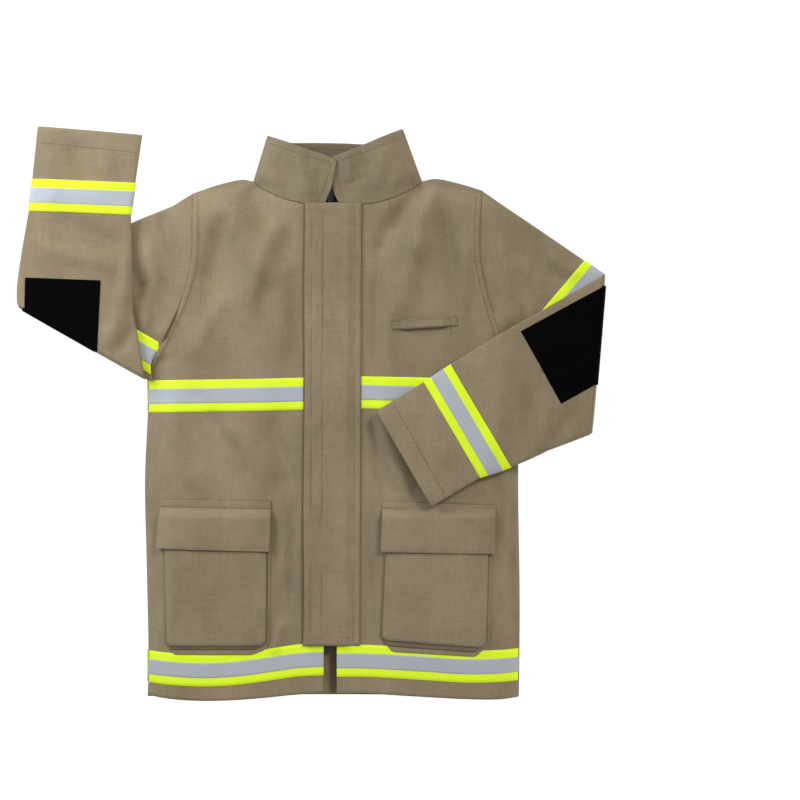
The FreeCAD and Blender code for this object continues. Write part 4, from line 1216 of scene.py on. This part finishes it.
def one_sleeve(name):
    """A whole sleeve: upper part, forearm, the fold between, and its trims."""
    side = -1 if name == "right" else 1
    crease = CREASES[name]
    body = f"{name}_forearm"
    inward = -side * FOLD_INSET
    upper = Sleeve(f"{name}_upper")
    stop = np.maximum(upper.share_at(crease[:2], crease[3], inward), 0.03)
    grid = upper.length(np.zeros(AROUND), stop, 80)
    node = f"{name}_upper_sleeve"
    piece = cloth(f"{node}_cloth", grid, SLEEVE_CLOTH, SHELL, "coat", "shell", node, wrap=True)
    cut_sheet(grid, ring=True)

    lower = Sleeve(body)
    start = lower.share_at(crease[:2], crease[3], inward)
    grid = lower.length(start, np.ones(AROUND), 96)
    piece = cloth(f"{body}_cloth", grid, SLEEVE_CLOTH, SHELL, body, "shell", body, wrap=True)
    cut_sheet(grid, ring=True)

    fold = elbow_grid(crease, side, -90, 90, 17)
    piece = shell(f"{name}_elbow_fold_cloth", fold, SLEEVE_CLOTH, SHELL, wrap=True)
    bend_elbow(piece)

    sleeve_band(f"{name}_upper", name, "coat", UPPER_BANDS[name])
    sleeve_band(body, name, body, CUFF_BANDS[name])

    plan = four_sided(PATCHES[name], 34, 34)
    grid = rise_on(plan, lower.top(plan) + 0.75)
    node = f"{name}_elbow_patch"
    cloth(f"{node}_cloth", grid, 0.8, PATCH, body, "elbow_patch", node)
    grid = elbow_grid(crease, side, -60, 93, 14, PATCH_FOLDS[name], 0.75, outer_only=True)
    piece = shell(f"{name}_elbow_patch_fold", grid, 0.7, PATCH, face_up=False)
    bend_elbow(piece)

    row = even(CUFF_STITCHES[name], ROW_STEP)[2:-2]
    stitch(body, np.column_stack([row, lower.top(row) + 0.15]))


one_sleeve("right")
one_sleeve("left")


# ------------------------------------------------------------------ pockets


def pleat(name, label, outline, lift, material, nodes=()):
    """A layer of a pocket's folded sides, open inside, following an outline."""
    line = even(smooth_corner(outline), count=150)
    inside = np.mean(outline, axis=0)
    pull = inside - line
    pull = pull / np.linalg.norm(pull, axis=1, keepdims=True)
    rows = []
    for inset, drop in ((0, 0.35), (1.2, 0), (5, 0.1), (10, 0.3)):
        plan = line + pull * inset
        rows.append(np.column_stack([plan, front_height(*plan.T) + lift - drop]))
    cloth(f"{name}_pocket_{label}", np.array(rows), 0.9, material, "coat", "shell", *nodes)


POCKET_RISE = 5.2
FLAP_SEAM = 8


def from_sides(plan):
    """How far each point of a grid in plan is from its nearer side."""
    x = plan[..., 0]
    return np.minimum(x - plan[:, :1, 0], plan[:, -1:, 0] - x)


def pocket_front(name, corners):
    """The front of a pocket, puffed up inside its edges."""
    a, b, c, d = np.array(corners, float)
    low_edge = smooth_corner([d + (0, 5), d + (4, 0), c + (-4, 0), c + (0, 5)])
    plan = patch(low_edge, [a, b], [d + (0, 5), a], [c + (0, 5), b], 44, 44)
    x, y = plan[..., 0], plan[..., 1]
    from_edge = np.minimum(from_sides(plan), y - plan[:1, :, 1])
    puff = 0.9 * ease(0, 24, from_edge) - 0.7 * (1 - ease(-1, 3, from_edge))
    puff = puff + (0.8 * lumps(x, y, 34, 71) + 0.4 * lumps(x * 1.6, y, 19, 72)) * ease(0, 12, from_edge)
    sheet = rise_on(plan, front_height(x, y) + POCKET_RISE + puff - 0.3)
    node = f"{name}_pocket_front"
    piece = cloth(f"{node}_cloth", sheet, 1.3, SHELL, "coat", "shell", node)
    cut_sheet(sheet)


def pocket_flap(name, corners):
    """The flap of a pocket, sewn along the top and lying over the front."""
    node = f"{name}_pocket_flap"
    hinge = span(node)[1][1]
    a, b, _, d = np.array(corners, float)
    plan = four_sided(corners, 56, 40)
    x, y = plan[..., 0], plan[..., 1]
    down = 1 - (1 - np.clip((hinge + 1 - y) / 10, 0, 1)) ** 1.7
    lift = 1.9 + (POCKET_RISE + 3.3 - 1.9) * down
    tip = 0.5 * (1 - ease(0, 3, y - d[1]))
    ends = 0.5 * (1 - ease(0, 3, from_sides(plan)))
    top_y = a[1] + (b[1] - a[1]) * (x - a[0]) / (b[0] - a[0])
    dent = 0.5 * bump(y, top_y - FLAP_SEAM, 1.3)
    wave = 0.7 * lumps(x, y, 38, 73) * down
    sheet = rise_on(plan, front_height(x, y) + lift - tip - ends - dent + wave)
    piece = shell(f"{node}_cloth", sheet, 1.7, SHELL)
    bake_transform(piece)
    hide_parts(node, f"{name}_pocket_strip")
    cut_sheet(sheet)
    stitch("coat", on_front(even([a + (2, -FLAP_SEAM), b + (-2, -FLAP_SEAM)], ROW_STEP), 1.75))


def pocket_tape(name, kind, body, offset, material):
    """The loop tape on a pocket, or the hook tape under its flap."""
    node = f"{name}_pocket_{kind}_tape"
    low, high = span(node)
    gx, gy = np.meshgrid(np.linspace(low[0], high[0], 24), np.linspace(low[1], high[1], 7))
    grid = np.stack([gx, gy, front_height(gx, gy) + POCKET_RISE + offset], axis=2)
    cloth(f"{node}_nap", grid, 0.5, material, body, f"{kind}_tape", node)


def pocket(name, face, middle_fold, base_fold, flap):
    """A bellows pocket with its pleats, flap and fastening tapes."""
    pleat(name, "base_pleat", base_fold, 1.6, SHELL, [f"{name}_pocket_gusset"])
    # The middle pleat is in the darker wrong-side twill: painted shade in the recess between the folds.
    pleat(name, "middle_pleat", middle_fold, 3.0, SHADED_WRONG_SIDE)
    pocket_front(name, face)
    pocket_flap(name, flap)
    pocket_tape(name, "loop", "coat", 1.5, LOOPS)
    pocket_tape(name, "hook", f"{name}_pocket_flap", 2.1, HOOKS)


pocket(
    "right",
    [(-188, -95), (-73.4, -95), (-74.6, -232), (-185, -232.4)],
    [(-187.4, -95), (-184.4, -228), (-181, -236), (-84, -236), (-72.4, -228), (-71.2, -95)],
    [
        (-186.6, -95), (-184.6, -230), (-177.4, -242), (-90, -242.4),
        (-76, -237), (-70.2, -228), (-68.8, -95),
    ],
    [(-193.4, -68.5), (-68.2, -70.8), (-70.0, -127), (-196.8, -123.4)],
)
pocket(
    "left",
    [(61.0, -95), (175.2, -95), (171.8, -234), (55.4, -226)],
    [(60.4, -95), (54.4, -222), (60.5, -232), (160, -238.8), (173.2, -229), (177.0, -95)],
    [(59.4, -95), (53.4, -222), (66.6, -238.9), (159.6, -244.4), (174.8, -231), (178.8, -95)],
    [(56.0, -70.8), (182.4, -75), (181.8, -129.4), (54.0, -127.2)],
)


# ------------------------------------------------------------------ microphone loop


def mic_loop():
    """A strip of webbing, sewn at both ends and lifted between them."""
    middle = np.array([103.2, 128.4])
    along, across = turned(3.6), turned(93.6)
    reach = np.linspace(-36.4, 36.4, 70)
    side = np.linspace(-5.1, 5.1, 9)
    lifted = 4.2 * (1 - ease(20, 29, np.abs(reach)))
    plan = middle + along * reach[:, None, None] + across * side[None, :, None]
    z = front_height(plan[..., 0], plan[..., 1]) + 1.3 + lifted[:, None] - 0.25 * (np.abs(side) / 5.1) ** 4
    cloth("mic_loop_webbing", rise_on(plan, z), 1.1, WEBBING, "coat", "webbing", "mic_loop")
    for end in (-1, 1):
        for step in (27.5, 29.0, 34.0, 35.2):
            row = middle + along * end * step + across * np.linspace(-4.6, 4.6, 4)[:, None]
            stitch("coat", on_front(row, 1.35))
    for edge in (-3.9, 3.9):
        row = middle + along * reach[4:-4, None] + across * edge
        stitch("coat", even(on_front(row, 1.4 + lifted[4:-4]), ROW_STEP))


mic_loop()


# ------------------------------------------------------------------ zip


def block(name, outline, low, high, material, bevel=0.25):
    """A flat part with rounded edges, from its outline in plan."""
    count = len(outline)
    corners = [(*c, low) for c in outline] + [(*c, high) for c in outline]
    faces = [tuple(range(count)), tuple(range(count, 2 * count))]
    for k in range(count):
        after = (k + 1) % count
        faces.append((k, after, count + after, count + k))
    piece = mesh_piece(name, corners, faces, material, smooth=False)
    if bevel:
        edge = piece.modifiers.new("edges", "BEVEL")
        edge.width = bevel * MM
        edge.segments = 2
        edge.limit_method = "ANGLE"
    return piece


def mirrored(middle, half):
    """A closed outline from its right half, given from the bottom up."""
    right = [(middle + x, y) for x, y in half]
    return right + [(middle - x, y) for x, y in half[::-1]]


def end_block(name, node):
    """A plain moulded part that fills its own place beside the teeth."""
    low, high = span(node)
    piece = block(name, oblong(low[0], high[0], low[1], high[1]), low[2], high[2], TEETH)
    declare(piece, "coat", "zip_teeth", node)


def oblong(x0, x1, y0, y1):
    return [(x0, y0), (x1, y0), (x1, y1), (x0, y1)]


def teeth_tree():
    """Moulded teeth, each a foot with a wider head."""
    tree, points = points_along("teeth", [("Body", "Vector"), ("Head", "Vector")])
    both = tree.node("GeometryNodeJoinGeometry", {})
    for label in ("Body", "Head"):
        cube = tree.node("GeometryNodeMeshCube", {}, tree.given[label])
        tree.link(cube.outputs[0], both.inputs[0])
    tree.place(points, both)
    return tree


def zip_side(side, teeth):
    """One tape of the zip, with its row of teeth and its stop."""
    low, high = span(f"zip_tape_{side}")
    gx, gy = np.meshgrid(np.linspace(low[0], high[0], 6), np.linspace(low[1], high[1], 120))
    grid = np.stack([gx, gy, high[2] - 0.05 + 0.1 * np.sin(gy / 9)], axis=2)
    cloth(f"zip_tape_{side}_cloth", grid, 0.6, ZIP_TAPE, "coat", "zip_tape", f"zip_tape_{side}")
    low, high = span(f"zip_teeth_{side}")
    mid_x, mid_z = (low[0] + high[0]) / 2, (low[2] + high[2]) / 2
    shift = 0.6 if side == "left" else -0.6
    line = np.array([(mid_x, low[1] + 0.8 + shift, mid_z), (mid_x, high[1] - 0.8, mid_z)])
    piece = line_piece(f"zip_teeth_{side}_row", [line], TEETH)
    foot, head = (2.5 * MM, 1.1 * MM, 1.9 * MM), (1.0 * MM, 1.6 * MM, 1.5 * MM)
    teeth.apply(piece, Pitch=2.4 * MM, Body=foot, Head=head, Material=TEETH)
    piece.data.polygons.foreach_set("use_smooth", [False] * len(piece.data.polygons))
    declare(piece, "coat", "zip_teeth", f"zip_teeth_{side}")
    end_block(f"zip_stop_{side}_block", f"zip_stop_{side}")


def zip_slider():
    """Two plates joined by a post, with the lug that holds the pull tab."""
    low, high = span("zip_slider")
    middle = (low[0] + high[0]) / 2
    start, stop = low[1], high[1]
    shield = mirrored(middle, [(2.6, start), (3.4, start + 3), (4, stop - 3), (3.2, stop)])
    plate_top = high[2] - 2
    lug_y = JOINTS["zip_pull_hinge"]["pos_m"][1] / MM
    post = oblong(middle - 0.25, middle + 0.25, stop - 4, stop - 1)
    lug = oblong(middle - 1, middle + 1, lug_y - 1.5, lug_y + 1.5)
    for part, outline, floor, roof, bevel in (
        ("upper_plate", shield, plate_top - 1.4, plate_top, 0.35),
        ("lower_plate", shield, low[2], low[2] + 1.4, 0.35),
        ("post", post, low[2] + 1, plate_top - 1, 0),
        ("lug", lug, plate_top - 0.2, high[2], 0.3),
    ):
        piece = block(f"zip_slider_{part}", outline, floor, roof, CASTING, bevel)
        declare(piece, "zip_slider", "zip_metal", *(["zip_slider"] if part == "post" else []))


def zip_pull():
    """The pull tab, forked round the slider's lug."""
    low, high = span("zip_pull_tab")
    middle = ZIP_MIDDLE
    y0, y1 = low[1], high[1]
    edge = [(3, y0), (2.4, y0 + 8), (2.9, y1 - 4), (2.1, y1 - 0.8), (0.9, y1)]
    tab = mirrored(middle, [(1.3, y0 + 2.8), (1.3, y0), *edge])
    piece = block("zip_pull_blade", tab, low[2], high[2], CASTING)
    declare(piece, "zip_pull", "zip_metal", "zip_pull_tab")


def zip_fastener():
    teeth = teeth_tree()
    for side in ("right", "left"):
        zip_side(side, teeth)
    end_block("zip_retainer_block", "zip_retainer_box")
    zip_slider()
    zip_pull()


zip_fastener()


# ------------------------------------------------------------------ camera and light

FRAME_WIDTH = 0.896
CAMERA_UP = 3.0
camera_data = bpy.data.cameras.new("camera")
camera = bpy.data.objects.new("camera", camera_data)
objects.link(camera)
camera_data.sensor_width = 36
camera_data.lens = 36 * CAMERA_UP / FRAME_WIDTH
camera.location = (0.0756, 0.0426, CAMERA_UP + 0.015)
bpy.context.scene.camera = camera

world = bpy.data.worlds.new("studio")
world.use_nodes = True
world.node_tree.nodes["Background"].inputs[0].default_value = (1, 1, 1, 1)
world.node_tree.nodes["Background"].inputs[1].default_value = 0.36
bpy.context.scene.world = world


def light(name, kind, energy, degrees, **settings):
    """A light, turned from pointing straight down."""
    data = bpy.data.lights.new(name, kind)
    data.energy = energy
    for key, value in settings.items():
        setattr(data, key, value)
    lamp = bpy.data.objects.new(name, data)
    lamp.rotation_euler = [math.radians(turn) for turn in degrees]
    objects.link(lamp)
    return lamp


light("key", "SUN", 1.35, (-28, 31, 0), angle=math.radians(16))
fill = light("fill", "AREA", 8.0, (-23.6, -46, 0), color=(0.84, 0.92, 1.0), size=0.6)
fill.location = (-0.84, 0.62, 0.5)
bpy.context.scene.view_settings.view_transform = "Standard"

floor_mesh = bpy.data.meshes.new("floor")
floor_mesh.from_pydata([(-4, -4, 0), (4, -4, 0), (4, 4, 0), (-4, 4, 0)], [], [(0, 1, 2, 3)])
floor_shader = Shader("white floor", Specular_IOR_Level=0.1)
floor_shader.glow((1, 1, 1), 0.97)
floor_mesh.materials.append(floor_shader.finish((0.12, 0.12, 0.12, 1), 0.9))
floor = bpy.data.objects.new("floor", floor_mesh)
floor.location = (0, 0, -0.0003)
objects.link(floor)

sew()
